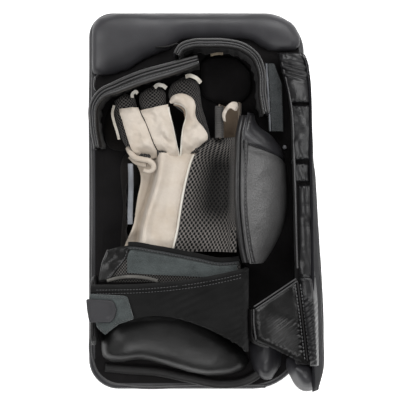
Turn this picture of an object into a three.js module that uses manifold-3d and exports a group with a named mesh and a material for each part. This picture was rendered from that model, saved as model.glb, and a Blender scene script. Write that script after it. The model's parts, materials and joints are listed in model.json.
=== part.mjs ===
// A right-hand ice hockey goalie's blocker, lying on the front face of its board with the palm side up.
// Millimetres. +Z is up, +Y points along the fingers and +X towards the thumb.
// The origin is the centre of the board's front face.

import * as THREE from 'three';
import { mergeVertices } from 'three/addons/utils/BufferGeometryUtils.js';
import Module from 'manifold-3d';

const wasm = await Module();
wasm.setup();

// Driving dimensions
const GAP = 0.3;
const BOARD_WIDTH = 218;
const BOARD_LENGTH = 381;
const BOARD_THICKNESS = 38;
const CORNER_RADIUS = { topLeft: 24, topRight: 40, bottomRight: 52, bottomLeft: 30 };
const SKIN = 2;
const STIFFENER_THICKNESS = 2;
const BACK_SKIN = 2;
const DECK = BOARD_THICKNESS + GAP;

const FINGER_GUARD_TOP = 90;
const INDEX_GUARD_TOP = 97;
const BINDING_HEIGHT = 6;

const HAND_PAD_TOP = 46;
const HAND_LINING_TOP = 47.6;
const PALM_HEIGHT = 72;
const PALM_THICKNESS = 1.6;
const KNUCKLE_Y = 46;

const STALL_BOTTOM = 49;
const STALL_TOP = 71;
const STALL_WALL = 1.6;
const STALL_WIDTH = 23;

const STRAP_THICKNESS = 3;
const STRAP_RIGHT_X = 50;
const STRAP_LEFT_X = -104;

const COLOURS = {
  leather: { color: 0x2b2a2d, roughness: 0.5, metalness: 0 },
  glossLeather: { color: 0x343336, roughness: 0.35, metalness: 0 },
  nylon: { color: 0x18171a, roughness: 0.8, metalness: 0 },
  lining: { color: 0x241f1e, roughness: 0.9, metalness: 0 },
  suede: { color: 0xcdc0af, roughness: 0.9, metalness: 0 },
  mesh: { color: 0x4a4645, roughness: 0.85, metalness: 0 },
  loop: { color: 0x55626a, roughness: 0.95, metalness: 0 },
  foam: { color: 0x6a6a6c, roughness: 0.9, metalness: 0 },
  plastic: { color: 0xd8d8d4, roughness: 0.45, metalness: 0 },
};

const blocker = new THREE.Group();

function addPiece(parent, name, geometry, look) {
  const mesh = new THREE.Mesh(geometry, new THREE.MeshStandardMaterial(COLOURS[look]));
  mesh.name = name;
  parent.add(mesh);
  return mesh;
}

// Joining and cutting closed solids
function toSolid(geometry) {
  const bare = geometry.clone();
  bare.deleteAttribute('normal');
  bare.deleteAttribute('uv');
  const merged = mergeVertices(bare, 1e-4);
  return new wasm.Manifold(new wasm.Mesh({
    numProp: 3,
    vertProperties: merged.attributes.position.array,
    triVerts: new Uint32Array(merged.index.array),
  }));
}

function toGeometry(solid) {
  const mesh = solid.getMesh();
  const geometry = new THREE.BufferGeometry();
  geometry.setAttribute('position', new THREE.BufferAttribute(mesh.vertProperties, 3));
  geometry.setIndex(new THREE.BufferAttribute(mesh.triVerts, 1));
  geometry.computeVertexNormals();
  return geometry;
}

function cutAway(geometry, cutter) {
  return toGeometry(toSolid(geometry).subtract(toSolid(cutter)));
}

// A value that changes in straight steps between [position, value] stations
function through(stations) {
  return (at) => {
    const next = stations.findIndex(([position]) => position >= at);
    if (next === 0) return stations[0][1];
    if (next < 0) return stations[stations.length - 1][1];
    const [p0, v0] = stations[next - 1];
    const [p1, v1] = stations[next];
    return v0 + (v1 - v0) * (at - p0) / (p1 - p0);
  };
}

const mix = THREE.MathUtils.lerp;

// A box whose points are moved to place(u, v, w), each of which runs from 0 to 1
function warpedBox(across, along, upward, place) {
  const geometry = new THREE.BoxGeometry(1, 1, 1, across, along, upward);
  const points = geometry.attributes.position;
  for (let i = 0; i < points.count; i += 1) {
    const moved = place(points.getX(i) + 0.5, points.getY(i) + 0.5, points.getZ(i) + 0.5);
    points.setXYZ(i, ...moved);
  }
  geometry.computeVertexNormals();
  return geometry;
}

function outline(points) {
  return new THREE.Shape(points.map(([x, y]) => new THREE.Vector2(x, y)));
}

function softOutline(points, segments) {
  const ring = [...points, points[0]].map(([x, y]) => new THREE.Vector2(x, y));
  const curve = new THREE.SplineCurve(ring);
  return new THREE.Shape(curve.getPoints(segments).slice(0, -1));
}

// A flat slab of an outline between two heights, with edges rounded by `round`
function slab(shape, bottom, top, round = 0, segments = 3) {
  const geometry = new THREE.ExtrudeGeometry(shape, {
    depth: top - bottom - 2 * round,
    bevelEnabled: round > 0,
    bevelThickness: round,
    bevelSize: round,
    bevelOffset: -round,
    bevelSegments: segments,
    curveSegments: 8,
    steps: 1,
  });
  geometry.translate(0, 0, bottom + round);
  return geometry;
}

// A rod of round section along a smooth curve
function rod(points, radius, steps, sides = 8) {
  const path = new THREE.CatmullRomCurve3(points.map((p) => new THREE.Vector3(...p)));
  const section = new THREE.Shape();
  section.absarc(0, 0, radius, 0, 2 * Math.PI);
  return new THREE.ExtrudeGeometry(section, {
    steps, extrudePath: path, curveSegments: sides / 2, bevelEnabled: false,
  });
}

// A strip that follows a plan path, between two distances to its left
function wallShape(points, outer, inner, segments) {
  const curve = new THREE.SplineCurve(points.map(([x, y]) => new THREE.Vector2(x, y)));
  const side = (distance) => Array.from({ length: segments + 1 }, (unused, i) => {
    const direction = curve.getTangentAt(i / segments);
    return curve.getPointAt(i / segments)
      .add(new THREE.Vector2(-direction.y, direction.x).multiplyScalar(distance));
  });
  return new THREE.Shape([...side(inner), ...side(outer).reverse()]);
}

// Board: a leather tray holding a stiff sheet and foam, closed by the back skin
function boardShape(inset) {
  const left = -BOARD_WIDTH / 2 + inset;
  const right = BOARD_WIDTH / 2 - inset;
  const bottom = -BOARD_LENGTH / 2 + inset;
  const top = BOARD_LENGTH / 2 - inset;
  const radius = (corner) => CORNER_RADIUS[corner] - inset;
  const shape = new THREE.Shape();
  const corner = (x, y, r, quarter) => {
    shape.absarc(x, y, r, quarter * Math.PI / 2, (quarter + 1) * Math.PI / 2);
  };
  corner(right - radius('topRight'), top - radius('topRight'), radius('topRight'), 0);
  corner(left + radius('topLeft'), top - radius('topLeft'), radius('topLeft'), 1);
  corner(left + radius('bottomLeft'), bottom + radius('bottomLeft'), radius('bottomLeft'), 2);
  corner(right - radius('bottomRight'), bottom + radius('bottomRight'), radius('bottomRight'), 3);
  return shape;
}

function buildBoard() {
  const trayTop = BOARD_THICKNESS - BACK_SKIN - GAP;
  const tray = cutAway(
    slab(boardShape(0), 0, trayTop),
    slab(boardShape(SKIN), SKIN, trayTop + 5),
  );
  const inside = boardShape(SKIN + GAP);
  const foamBottom = SKIN + STIFFENER_THICKNESS + 2 * GAP;
  addPiece(blocker, 'board_cover', tray, 'leather');
  addPiece(blocker, 'board_stiffener', slab(inside, SKIN + GAP, foamBottom - GAP), 'plastic');
  addPiece(blocker, 'board_foam', slab(inside, foamBottom, trayTop), 'foam');
  addPiece(blocker, 'board_back_cover', slab(boardShape(0), trayTop + GAP, BOARD_THICKNESS), 'nylon');
}

function buildTopRoll() {
  const roll = outline([
    [-105, 127], [-78, 130], [-62, 136], [-54, 142.5], [-38, 147], [-27, 155], [-14, 161],
    [54, 161], [66, 156], [74, 150], [103, 150],
    [104, 162], [99, 174], [88, 184], [72, 188], [-86, 188], [-98, 184], [-105, 172],
  ]);
  addPiece(blocker, 'top_roll', slab(roll, DECK, 49, 4), 'leather');
}

function buildBoardPiping() {
  const height = DECK + 1.3;
  const route = [
    [60, -187.5], [0, -187.5], [-70, -187.5], [-88, -184.5], [-101, -174], [-106.6, -158],
    [-107.2, -130], [-107.2, 0], [-107.2, 124],
  ].map(([x, y]) => [x, y, height]);
  addPiece(blocker, 'board_piping', rod(route, 1.2, 30, 6), 'leather');
}

// Guards that stand up round the fingertips: cover, foam and lining, with a bound rim on top
const FINGER_GUARD_PATH = [
  [-97, 52], [-100.5, 76], [-100, 94], [-93, 104.5], [-78, 112], [-55, 121.5], [-26, 129.8], [1.7, 137.6],
];
const INDEX_GUARD_PATH = [
  [-18.7, 142.5], [-15, 148.5], [-4, 152.8], [12, 153.5], [28, 153.2], [45, 149.5], [57.5, 140],
  [63, 127], [64.4, 103], [67.5, 85],
];

function buildGuard(name, path, top, halfWidth, segments) {
  const layers = [
    ['cover', halfWidth, halfWidth - 2.4, 'leather', 0],
    ['foam', halfWidth - 2.7, 2.5 - halfWidth, 'foam', 2],
    ['lining', 2.2 - halfWidth, -halfWidth, 'lining', 0],
  ];
  layers.forEach(([layer, outer, inner, look, lower]) => {
    const shape = wallShape(path, outer, inner, segments);
    addPiece(blocker, `${name}_${layer}`, slab(shape, DECK + GAP, top - lower), look);
  });
  const rim = wallShape(path, halfWidth + 1, -halfWidth - 1, segments);
  const rimBottom = top + GAP;
  addPiece(blocker, `${name}_binding`, slab(rim, rimBottom, rimBottom + BINDING_HEIGHT, 1.6, 1), 'leather');
}

function buildHandPads() {
  const pocket = softOutline([
    [7, 102], [26, 97], [48, 98], [56, 112], [55, 131], [44, 142], [24, 146], [8, 143], [5, 122],
  ], 27);
  addPiece(blocker, 'index_pocket_pad', slab(pocket, DECK + GAP, HAND_PAD_TOP, 2.5, 2), 'nylon');
  const knuckles = outline([
    [-90, 52], [-10, 52], [-10, 124], [-55, 112], [-84, 103], [-92, 92],
  ]);
  addPiece(blocker, 'knuckle_pad', slab(knuckles, DECK + GAP, 45, 2.5, 2), 'lining');
  const hand = outline([[-74, -62], [40, -62], [40, 49.5], [-74, 49.5]]);
  addPiece(blocker, 'backhand_pad', slab(hand, DECK + GAP, HAND_PAD_TOP, 2.5, 2), 'foam');
  const lining = outline([[-72, -60], [38, -60], [38, 47.5], [-72, 47.5]]);
  addPiece(blocker, 'backhand_lining', slab(lining, HAND_PAD_TOP + GAP, HAND_LINING_TOP), 'lining');
}

// Inner glove
const PALM_LEFT = through([[-44, -72], [-16, -59.6], [5, -58.7], [29, -56], [45.4, -62.5]]);
const PALM_RIGHT = through([[-47, -23], [-31, -19.1], [-6, -15.1], [20, -10.2], [45.4, -2.3]]);

function buildPalm() {
  const top = KNUCKLE_Y - 0.6;
  const bottom = -44;
  const palm = warpedBox(6, 8, 1, (u, v, w) => {
    const y = mix(bottom, top, v);
    const sag = 3 * Math.sin(Math.PI * u) * Math.sin(Math.PI * v);
    return [mix(PALM_LEFT(y), PALM_RIGHT(y), u), y, PALM_HEIGHT - sag + w * PALM_THICKNESS];
  });
  addPiece(blocker, 'palm_leather', palm, 'suede');

  const sideLining = slab(outline([[-72, -36], [-69.5, -36], [-69.5, 16], [-72, 16]]), 48, 68);
  addPiece(blocker, 'pinkie_side_lining', sideLining, 'lining');
  const webbing = slab(outline([[-67.5, -23], [-63, -23], [-63, 37], [-67.5, 37]]), 48, 70.5);
  addPiece(blocker, 'pinkie_side_webbing', webbing, 'loop');
}

// The mesh web between palm and thumb: a deep valley that climbs to the thumb guard's crest
function buildThumbGusset() {
  const valley = through([[0, 71], [0.2, 68], [0.45, 56], [0.62, 50], [0.8, 56], [0.92, 70], [1, 90]]);
  const bottom = -48;
  const top = 60;
  const gusset = warpedBox(12, 8, 1, (u, v, w) => {
    const y = mix(bottom, top, v);
    const left = mix(PALM_RIGHT(Math.min(y, 45)) + 1.2, 12, THREE.MathUtils.smoothstep(y, 42, 60));
    const level = mix(71, 90, u);
    const depth = Math.min(1, 2.4 * Math.sin(Math.PI * v)) ** 0.5;
    return [mix(left, 36, u), y, mix(level, valley(u), depth) - 0.4 + w * mix(1.6, 3, u)];
  });
  addPiece(blocker, 'thumb_gusset', gusset, 'mesh');
}

// Finger stalls: an open suede tube, a closed mesh tip and a small pull loop, each on its own knuckle
const FINGERS = [
  { name: 'pinkie', base: [-51.5, KNUCKLE_Y], lean: 18, length: 56, leather: 45 },
  { name: 'ring', base: [-27, KNUCKLE_Y + 1.6], lean: 14, length: 64, leather: 48 },
  { name: 'middle', base: [-2, KNUCKLE_Y + 4], lean: 8.5, length: 68, leather: 50 },
];

function tubeSection(width, height, wall) {
  const rounded = (w, h, r) => {
    const path = new THREE.Shape();
    path.absarc(w / 2 - r, h / 2 - r, r, 0, Math.PI / 2);
    path.absarc(r - w / 2, h / 2 - r, r, Math.PI / 2, Math.PI);
    path.absarc(r - w / 2, r - h / 2, r, Math.PI, 1.5 * Math.PI);
    path.absarc(w / 2 - r, r - h / 2, r, 1.5 * Math.PI, 2 * Math.PI);
    return path;
  };
  const section = rounded(width, height, 7);
  section.holes.push(rounded(width - 2 * wall, height - 2 * wall, 7 - wall));
  const bore = rounded(width - 2 * wall, height - 2 * wall, 7 - wall);
  return { ring: section, full: rounded(width, height, 7), bore };
}

function alongY(shape, from, to) {
  const geometry = new THREE.ExtrudeGeometry(shape, {
    depth: to - from, bevelEnabled: false, curveSegments: 3, steps: 1,
  });
  geometry.rotateX(Math.PI / 2);
  geometry.translate(0, to, 0);
  return geometry;
}

function buildFinger({ name, base, lean, length, leather }) {
  const height = STALL_TOP - STALL_BOTTOM;
  const section = tubeSection(STALL_WIDTH, height, STALL_WALL);
  const finger = new THREE.Group();
  finger.position.set(base[0], base[1], (STALL_TOP + STALL_BOTTOM) / 2);
  finger.rotation.z = THREE.MathUtils.degToRad(lean);
  blocker.add(finger);

  const start = leather + GAP;
  const cap = cutAway(
    alongY(section.full, start, length),
    alongY(section.bore, start - 1, length - STALL_WALL),
  );
  const loop = new THREE.BoxGeometry(9, 4.5, 1.5);
  loop.translate(1, length - 3, height / 2 + 0.75 + GAP);
  addPiece(finger, `${name}_stall`, alongY(section.ring, 3.6, leather), 'suede');
  addPiece(finger, `${name}_tip`, cap, 'mesh');
  addPiece(finger, `${name}_tip_loop`, loop, 'suede');
}

function buildIndexStall() {
  const bottom = 48.5;
  const top = 68.5;
  const section = tubeSection(22, top - bottom, STALL_WALL);
  const finger = new THREE.Group();
  finger.position.set(33.5, 63, (bottom + top) / 2);
  blocker.add(finger);
  addPiece(finger, 'index_stall', alongY(section.ring, 0, 36), 'suede');
  const rib = new THREE.BoxGeometry(3.5, 30, 15);
  rib.translate(-13.2, 15, 0);
  addPiece(finger, 'index_rib', rib, 'mesh');
}

// Thumb guard: a quarter shell from its crest beside the gusset down to its base beside the side board
const CREST_X = through([[-60, 52], [-50, 49.5], [-30, 46.5], [-10, 44.5], [20, 44], [45, 44.5], [66, 45.5],
  [78, 48], [86, 50]]);
const CREST_Z = through([
  [-60, 99], [-50, 102], [-30, 104], [20, 105], [45, 103], [66, 99], [78, 94], [86, 88],
]);
const BASE_X = through([[-60, 68], [-50, 75], [-30, 85], [-10, 90], [22, 91], [38, 89.5], [58, 81], [66, 74],
  [72, 65], [78, 59.5], [86, 57.5]]);
const BASE_Z = through([[-60, 60], [-50, 52], [-30, 48], [38, 48], [58, 51], [66, 54], [78, 62], [86, 70]]);

function thumbLayer(depth, thickness, from, to, across, along) {
  return warpedBox(across, along, 1, (u, v, w) => {
    const y = mix(from(u), to(u), v);
    const inward = depth + (1 - w) * thickness;
    const angle = u * Math.PI / 2;
    const x = CREST_X(y) + (BASE_X(y) - CREST_X(y) - inward) * Math.sin(angle);
    const z = BASE_Z(y) + (CREST_Z(y) - BASE_Z(y) - inward) * Math.cos(angle);
    return [x, y, z];
  });
}

function buildThumbGuard() {
  const crease = (u) => 56 - 19 * u;
  const bottom = () => -60;
  const top = () => 86;
  const shell = thumbLayer(0, 3, bottom, (u) => crease(u) - GAP / 2, 8, 12);
  const tip = thumbLayer(0, 3, (u) => crease(u) + GAP / 2, top, 8, 6);
  addPiece(blocker, 'thumb_guard_shell', shell, 'leather');
  addPiece(blocker, 'thumb_guard_tip', tip, 'leather');
  const insideBottom = () => -52;
  const insideTop = () => 64;
  addPiece(blocker, 'thumb_guard_foam', thumbLayer(3.8, 4.6, insideBottom, insideTop, 6, 12), 'foam');
  addPiece(blocker, 'thumb_guard_lining', thumbLayer(9, 1.4, insideBottom, insideTop, 6, 12), 'lining');
  const stations = [-58, -44, -28, -10, 8, 26, 44, 58, 70, 80];
  const crest = stations.map((y) => [CREST_X(y) - 3.7, y, CREST_Z(y) - 3.4]);
  addPiece(blocker, 'thumb_guard_binding', rod(crest, 3, 22, 8), 'leather');
}

// Side board along the thumb edge
const SIDE_TOP = 148;
const SIDE_BOTTOM = -160;
const SIDE_INNER_X = through([[-192, 98], [-160, 98], [-72, 98.5], [-40, 97.5], [40, 95.5], [95, 93], [108, 91],
  [130, 86.5], [148, 83]]);
const SIDE_CREST_X = through([[-192, 119], [-160, 116], [-72, 115], [40, 113.5], [148, 112]]);
const SIDE_BASE_X = through([[-192, 126], [-180, 130], [-140, 131.5], [-72, 129], [-30, 126], [20, 121],
  [60, 117.5], [148, 112.6]]);
const SIDE_CREST_Z = through([[-192, 58], [-175, 74], [-160, 86], [-72, 88], [20, 86], [80, 78], [120, 66],
  [148, 52]]);
const SIDE_SKIN = 2.4;
const SIDE_BASE_Z = 3;

function sideOuterX(y, z) {
  const height = (z - SIDE_BASE_Z) / (SIDE_CREST_Z(y) - SIDE_BASE_Z);
  return mix(SIDE_BASE_X(y), SIDE_CREST_X(y), height);
}

function buildSideBoard() {
  const outer = warpedBox(1, 20, 2, (u, v, w) => {
    const y = mix(-192, SIDE_TOP, v);
    const z = mix(SIDE_BASE_Z, SIDE_CREST_Z(y), w);
    return [sideOuterX(y, z) - (1 - u) * SIDE_SKIN, y, z];
  });
  addPiece(blocker, 'side_board_cover', outer, 'leather');

  const foam = warpedBox(1, 16, 1, (u, v, w) => {
    const y = mix(SIDE_BOTTOM, SIDE_TOP, v);
    const z = mix(DECK + GAP, SIDE_CREST_Z(y) - 3, w);
    return [mix(SIDE_INNER_X(y) + 1, sideOuterX(y, z) - SIDE_SKIN - 1, u), y, z];
  });
  addPiece(blocker, 'side_board_foam', foam, 'foam');

  const rolls = [
    ['side_roll_top', 96, SIDE_TOP], ['side_roll_upper', 39, 95.4],
    ['side_roll_tuft', 17.5, 38.4], ['side_roll_lower', -71, 16.9],
  ];
  rolls.forEach(([name, from, to]) => {
    const roll = warpedBox(4, 5, 1, (u, v, w) => {
      const y = mix(from, to, v);
      const bulge = 3.5 * Math.sin(Math.PI * u) ** 0.5 * Math.sin(Math.PI * v) ** 0.5;
      const bottom = SIDE_CREST_Z(y) - 2.6;
      const outerX = sideOuterX(y, SIDE_CREST_Z(y)) - SIDE_SKIN - 0.6;
      return [mix(SIDE_INNER_X(y), outerX, u), y, bottom + w * (1.6 + bulge)];
    });
    addPiece(blocker, name, roll, 'leather');
  });

  const end = warpedBox(3, 4, 3, (u, v, w) => {
    const y = mix(-191, SIDE_BOTTOM - GAP, v);
    const z = mix(DECK + GAP, SIDE_CREST_Z(y) - 2.6, w);
    return [mix(SIDE_INNER_X(y), sideOuterX(y, z) - SIDE_SKIN - 1, u), y, z];
  });
  addPiece(blocker, 'side_board_end', end, 'leather');
}

function buildWrapPatch() {
  const patch = slab(outline([
    [54.5, -104.5], [98.4, -74], [113, -100], [113, -138], [108.5, -159], [57.3, -137],
  ]), 0, 2);
  const points = patch.attributes.position;
  const height = through([[54, 86], [97, 90.5], [114, 90.5]]);
  for (let i = 0; i < points.count; i += 1) {
    points.setZ(i, points.getZ(i) + height(points.getX(i)));
  }
  patch.computeVertexNormals();
  addPiece(blocker, 'wrap_patch', patch, 'glossLeather');
}

// Wrist: cuff walls and wrist pad under the closing straps
function buildCuff() {
  const pad = softOutline([
    [-92, -142], [-84, -121], [-60, -109], [-18, -106], [22, -116], [41, -136], [42, -158], [20, -172],
    [-25, -170], [-60, -162], [-84, -159],
  ], 33);
  addPiece(blocker, 'wrist_pad', slab(pad, DECK + GAP, 68, 9, 3), 'glossLeather');
  const flank = outline([[44, -148], [50, -148], [50, -66], [44, -66]]);
  addPiece(blocker, 'cuff_flank', slab(flank, DECK + GAP, 85.5), 'leather');
  const gusset = softOutline([
    [54, -150], [60, -131], [74, -127], [86, -134], [88, -156], [81, -172], [66, -181], [57, -173],
  ], 24);
  addPiece(blocker, 'cuff_gusset', slab(gusset, DECK + GAP, 60, 5, 2), 'leather');
  const wing = outline([[-104, -132], [-98.5, -132], [-98.5, -84], [-104, -84]]);
  addPiece(blocker, 'cuff_wing', slab(wing, DECK + GAP, 83), 'leather');
}

const BAND_TOP_Y = through([[-97, -49], [-66, -43.6], [23, -59.5], [43, -57.5]]);
const BAND_BOTTOM_Y = through([[-97, -80], [-40, -79], [43, -79]]);

function buildHeelBand() {
  const level = through([[-97, 75], [-66, 76], [43, 79]]);
  const layer = (left, right, lift, thickness, inset) => warpedBox(10, 2, 1, (u, v, w) => {
    const x = mix(left, right, u);
    const y = mix(BAND_BOTTOM_Y(x) + inset, BAND_TOP_Y(x) - inset, v);
    return [x, y, level(x) + lift + w * thickness];
  });
  addPiece(blocker, 'heel_band', layer(-97, 43, 0, 3, 0), 'mesh');
  addPiece(blocker, 'heel_loop_panel', layer(-66, 30, 3 + GAP, 1.3, 3.2), 'loop');
  const patch = slab(outline([[-96, -79], [-86.8, -77.6], [-67, -52], [-67, -45.5], [-89.8, -49.5]]), 0, 1.6);
  const points = patch.attributes.position;
  for (let i = 0; i < points.count; i += 1) {
    points.setZ(i, points.getZ(i) + level(points.getX(i)) + 3 + 2 * GAP);
  }
  patch.computeVertexNormals();
  addPiece(blocker, 'heel_patch', patch, 'leather');
  const edge = [-64, -44, -22, 0, 22, 32, 42].map((x) => [x, BAND_TOP_Y(x) + 2.8, level(x) + 1.2]);
  addPiece(blocker, 'heel_binding', rod(edge, 2, 16, 6), 'leather');
}

const STRAP_HEIGHT = through([[-104, 84.5], [-60, 88], [0, 90], [30, 89], [50, 86]]);

function buildWristStrap() {
  const upper = through([[-104, -83.5], [-49, -82], [10, -75], [50, -66.5]]);
  const lower = through([[-104, -118], [-70, -116], [-37, -113], [0, -121], [38, -139], [50, -147]]);
  const strap = warpedBox(14, 4, 1, (u, v, w) => {
    const x = mix(STRAP_LEFT_X, STRAP_RIGHT_X, u);
    return [x, mix(lower(x), upper(x), v), STRAP_HEIGHT(x) + w * STRAP_THICKNESS];
  });
  addPiece(blocker, 'wrist_strap', strap, 'nylon');

  const lie = (shape, lift, thickness, name, look) => {
    const layer = slab(shape, 0, thickness);
    const points = layer.attributes.position;
    for (let i = 0; i < points.count; i += 1) {
      points.setZ(i, points.getZ(i) + STRAP_HEIGHT(points.getX(i)) + STRAP_THICKNESS + lift);
    }
    layer.computeVertexNormals();
    addPiece(blocker, name, layer, look);
  };
  const tab = outline([
    [-105.6, -90.7], [-97, -124], [-89, -130.7], [-75.4, -120], [-60.8, -115], [-67.6, -92.6],
  ]);
  const pull = outline([
    [-107.6, -95.5], [-104.5, -118], [-83.2, -118], [-77.4, -107.3], [-82.3, -96.5],
  ]);
  lie(tab, 2 * GAP, 1.6, 'strap_tab', 'loop');
  lie(pull, 3 * GAP + 1.9, 1.8, 'strap_pull', 'leather');
}

// A web strap with a hook strip on it, beside the index guard
function buildIndexStrap() {
  const web = outline([[74.8, 70], [86, 70], [84.5, 118], [77, 138], [70, 138]]);
  addPiece(blocker, 'index_strap', slab(web, 46, 48), 'nylon');
  const hook = outline([[78, 71.5], [85, 71.5], [83.5, 117.5], [76.5, 136.5], [73.5, 136.5]]);
  addPiece(blocker, 'index_strap_hook', slab(hook, 48 + GAP, 49.6), 'loop');
}

buildBoard();
buildTopRoll();
buildBoardPiping();
buildGuard('finger_guard', FINGER_GUARD_PATH, FINGER_GUARD_TOP, 4.5, 20);
buildGuard('index_guard', INDEX_GUARD_PATH, INDEX_GUARD_TOP, 4, 22);
buildHandPads();
buildPalm();
buildThumbGusset();
FINGERS.forEach(buildFinger);
buildIndexStall();
buildThumbGuard();
buildSideBoard();
buildWrapPatch();
buildCuff();
buildHeelBand();
buildWristStrap();
buildIndexStrap();

export default blocker;
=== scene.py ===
"""A right-hand ice hockey goalie's blocker, palm side up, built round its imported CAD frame.
Shapes are worked out in millimetres in the frame's axes and made in metres."""
import json
import math

import bpy
import numpy as np
from mathutils import Vector
from mathutils.geometry import delaunay_2d_cdt
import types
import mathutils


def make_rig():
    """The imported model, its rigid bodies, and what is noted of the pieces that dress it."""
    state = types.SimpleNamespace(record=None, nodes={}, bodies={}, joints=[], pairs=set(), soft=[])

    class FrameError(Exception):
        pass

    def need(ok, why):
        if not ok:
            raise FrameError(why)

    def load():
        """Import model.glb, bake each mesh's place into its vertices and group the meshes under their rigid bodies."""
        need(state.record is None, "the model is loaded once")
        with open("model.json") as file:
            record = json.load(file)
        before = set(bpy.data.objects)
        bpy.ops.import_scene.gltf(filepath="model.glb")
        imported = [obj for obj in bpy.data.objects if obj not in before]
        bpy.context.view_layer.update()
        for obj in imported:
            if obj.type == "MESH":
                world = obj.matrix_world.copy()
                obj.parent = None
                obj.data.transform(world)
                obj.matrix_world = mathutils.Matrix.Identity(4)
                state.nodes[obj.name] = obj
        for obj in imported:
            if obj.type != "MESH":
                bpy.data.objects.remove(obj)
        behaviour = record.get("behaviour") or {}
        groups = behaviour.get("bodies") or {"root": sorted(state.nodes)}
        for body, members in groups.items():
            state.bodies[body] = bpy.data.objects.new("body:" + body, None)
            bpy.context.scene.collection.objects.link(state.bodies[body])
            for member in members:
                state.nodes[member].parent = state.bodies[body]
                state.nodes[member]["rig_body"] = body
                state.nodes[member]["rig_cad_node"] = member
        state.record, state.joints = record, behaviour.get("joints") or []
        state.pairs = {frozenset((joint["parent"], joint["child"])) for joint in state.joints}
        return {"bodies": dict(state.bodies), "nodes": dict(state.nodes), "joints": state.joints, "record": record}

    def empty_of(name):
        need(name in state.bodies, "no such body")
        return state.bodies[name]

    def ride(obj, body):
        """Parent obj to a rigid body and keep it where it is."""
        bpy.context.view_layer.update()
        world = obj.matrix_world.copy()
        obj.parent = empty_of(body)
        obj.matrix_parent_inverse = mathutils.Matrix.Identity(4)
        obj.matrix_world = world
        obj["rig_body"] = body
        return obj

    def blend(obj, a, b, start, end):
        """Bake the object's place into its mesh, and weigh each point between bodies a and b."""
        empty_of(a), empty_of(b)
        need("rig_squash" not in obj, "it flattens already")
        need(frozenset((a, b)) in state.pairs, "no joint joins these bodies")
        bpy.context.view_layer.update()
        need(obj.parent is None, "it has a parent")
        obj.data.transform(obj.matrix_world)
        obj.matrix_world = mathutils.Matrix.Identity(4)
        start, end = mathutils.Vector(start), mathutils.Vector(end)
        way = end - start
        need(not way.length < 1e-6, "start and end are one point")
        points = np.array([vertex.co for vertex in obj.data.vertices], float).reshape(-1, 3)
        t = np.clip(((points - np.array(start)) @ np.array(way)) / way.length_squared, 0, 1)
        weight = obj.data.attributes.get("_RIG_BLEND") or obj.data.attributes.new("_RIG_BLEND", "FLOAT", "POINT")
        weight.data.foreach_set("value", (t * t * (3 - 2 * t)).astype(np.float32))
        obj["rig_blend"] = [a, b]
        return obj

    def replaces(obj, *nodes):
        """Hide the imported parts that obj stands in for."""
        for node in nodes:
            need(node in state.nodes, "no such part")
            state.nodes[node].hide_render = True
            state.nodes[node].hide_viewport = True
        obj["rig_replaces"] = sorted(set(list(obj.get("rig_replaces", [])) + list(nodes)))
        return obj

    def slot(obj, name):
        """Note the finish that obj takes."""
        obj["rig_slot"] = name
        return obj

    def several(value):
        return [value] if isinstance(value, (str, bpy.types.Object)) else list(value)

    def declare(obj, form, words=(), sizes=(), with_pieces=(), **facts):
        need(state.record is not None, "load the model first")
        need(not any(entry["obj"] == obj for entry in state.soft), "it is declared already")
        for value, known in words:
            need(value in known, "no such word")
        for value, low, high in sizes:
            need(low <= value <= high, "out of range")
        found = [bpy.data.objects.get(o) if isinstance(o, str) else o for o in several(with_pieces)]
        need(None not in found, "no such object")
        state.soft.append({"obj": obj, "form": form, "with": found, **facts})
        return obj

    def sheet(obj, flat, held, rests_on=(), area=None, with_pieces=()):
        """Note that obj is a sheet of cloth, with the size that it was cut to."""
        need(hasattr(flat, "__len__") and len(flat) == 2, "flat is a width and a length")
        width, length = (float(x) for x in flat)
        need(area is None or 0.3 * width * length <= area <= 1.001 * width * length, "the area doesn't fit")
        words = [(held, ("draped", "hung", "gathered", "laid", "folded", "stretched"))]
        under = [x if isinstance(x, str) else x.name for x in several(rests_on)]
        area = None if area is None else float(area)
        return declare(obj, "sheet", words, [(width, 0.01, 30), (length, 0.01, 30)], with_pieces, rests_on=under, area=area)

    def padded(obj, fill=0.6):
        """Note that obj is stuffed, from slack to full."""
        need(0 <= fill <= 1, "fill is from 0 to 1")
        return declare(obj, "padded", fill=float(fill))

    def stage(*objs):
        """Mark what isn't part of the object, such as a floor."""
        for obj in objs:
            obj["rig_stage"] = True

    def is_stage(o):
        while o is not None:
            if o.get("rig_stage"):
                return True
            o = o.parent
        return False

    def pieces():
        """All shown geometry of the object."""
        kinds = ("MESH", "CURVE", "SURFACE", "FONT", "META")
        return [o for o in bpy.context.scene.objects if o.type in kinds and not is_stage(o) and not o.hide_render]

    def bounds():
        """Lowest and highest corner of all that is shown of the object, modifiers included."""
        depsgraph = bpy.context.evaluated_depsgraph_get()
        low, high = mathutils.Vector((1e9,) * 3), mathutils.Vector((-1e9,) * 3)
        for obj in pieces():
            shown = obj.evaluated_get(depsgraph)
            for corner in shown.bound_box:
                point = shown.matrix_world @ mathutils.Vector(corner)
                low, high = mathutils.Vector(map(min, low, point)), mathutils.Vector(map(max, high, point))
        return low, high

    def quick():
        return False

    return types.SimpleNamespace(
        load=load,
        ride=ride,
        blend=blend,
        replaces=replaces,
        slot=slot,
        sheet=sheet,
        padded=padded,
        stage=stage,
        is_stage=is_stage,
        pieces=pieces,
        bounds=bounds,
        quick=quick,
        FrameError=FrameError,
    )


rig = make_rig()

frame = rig.load()
CAD_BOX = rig.bounds()

MM = 0.001

# Board, as in the CAD frame
BOARD_WIDTH = 218
BOARD_LENGTH = 381
BOARD_TOP = 38
DECK = 38.4
CORNERS = {"top_right": 40, "top_left": 24, "bottom_left": 30, "bottom_right": 52}
PALM_Z = 72
STRAP_THICKNESS = 3


# ---------------------------------------------------------------- curves

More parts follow.
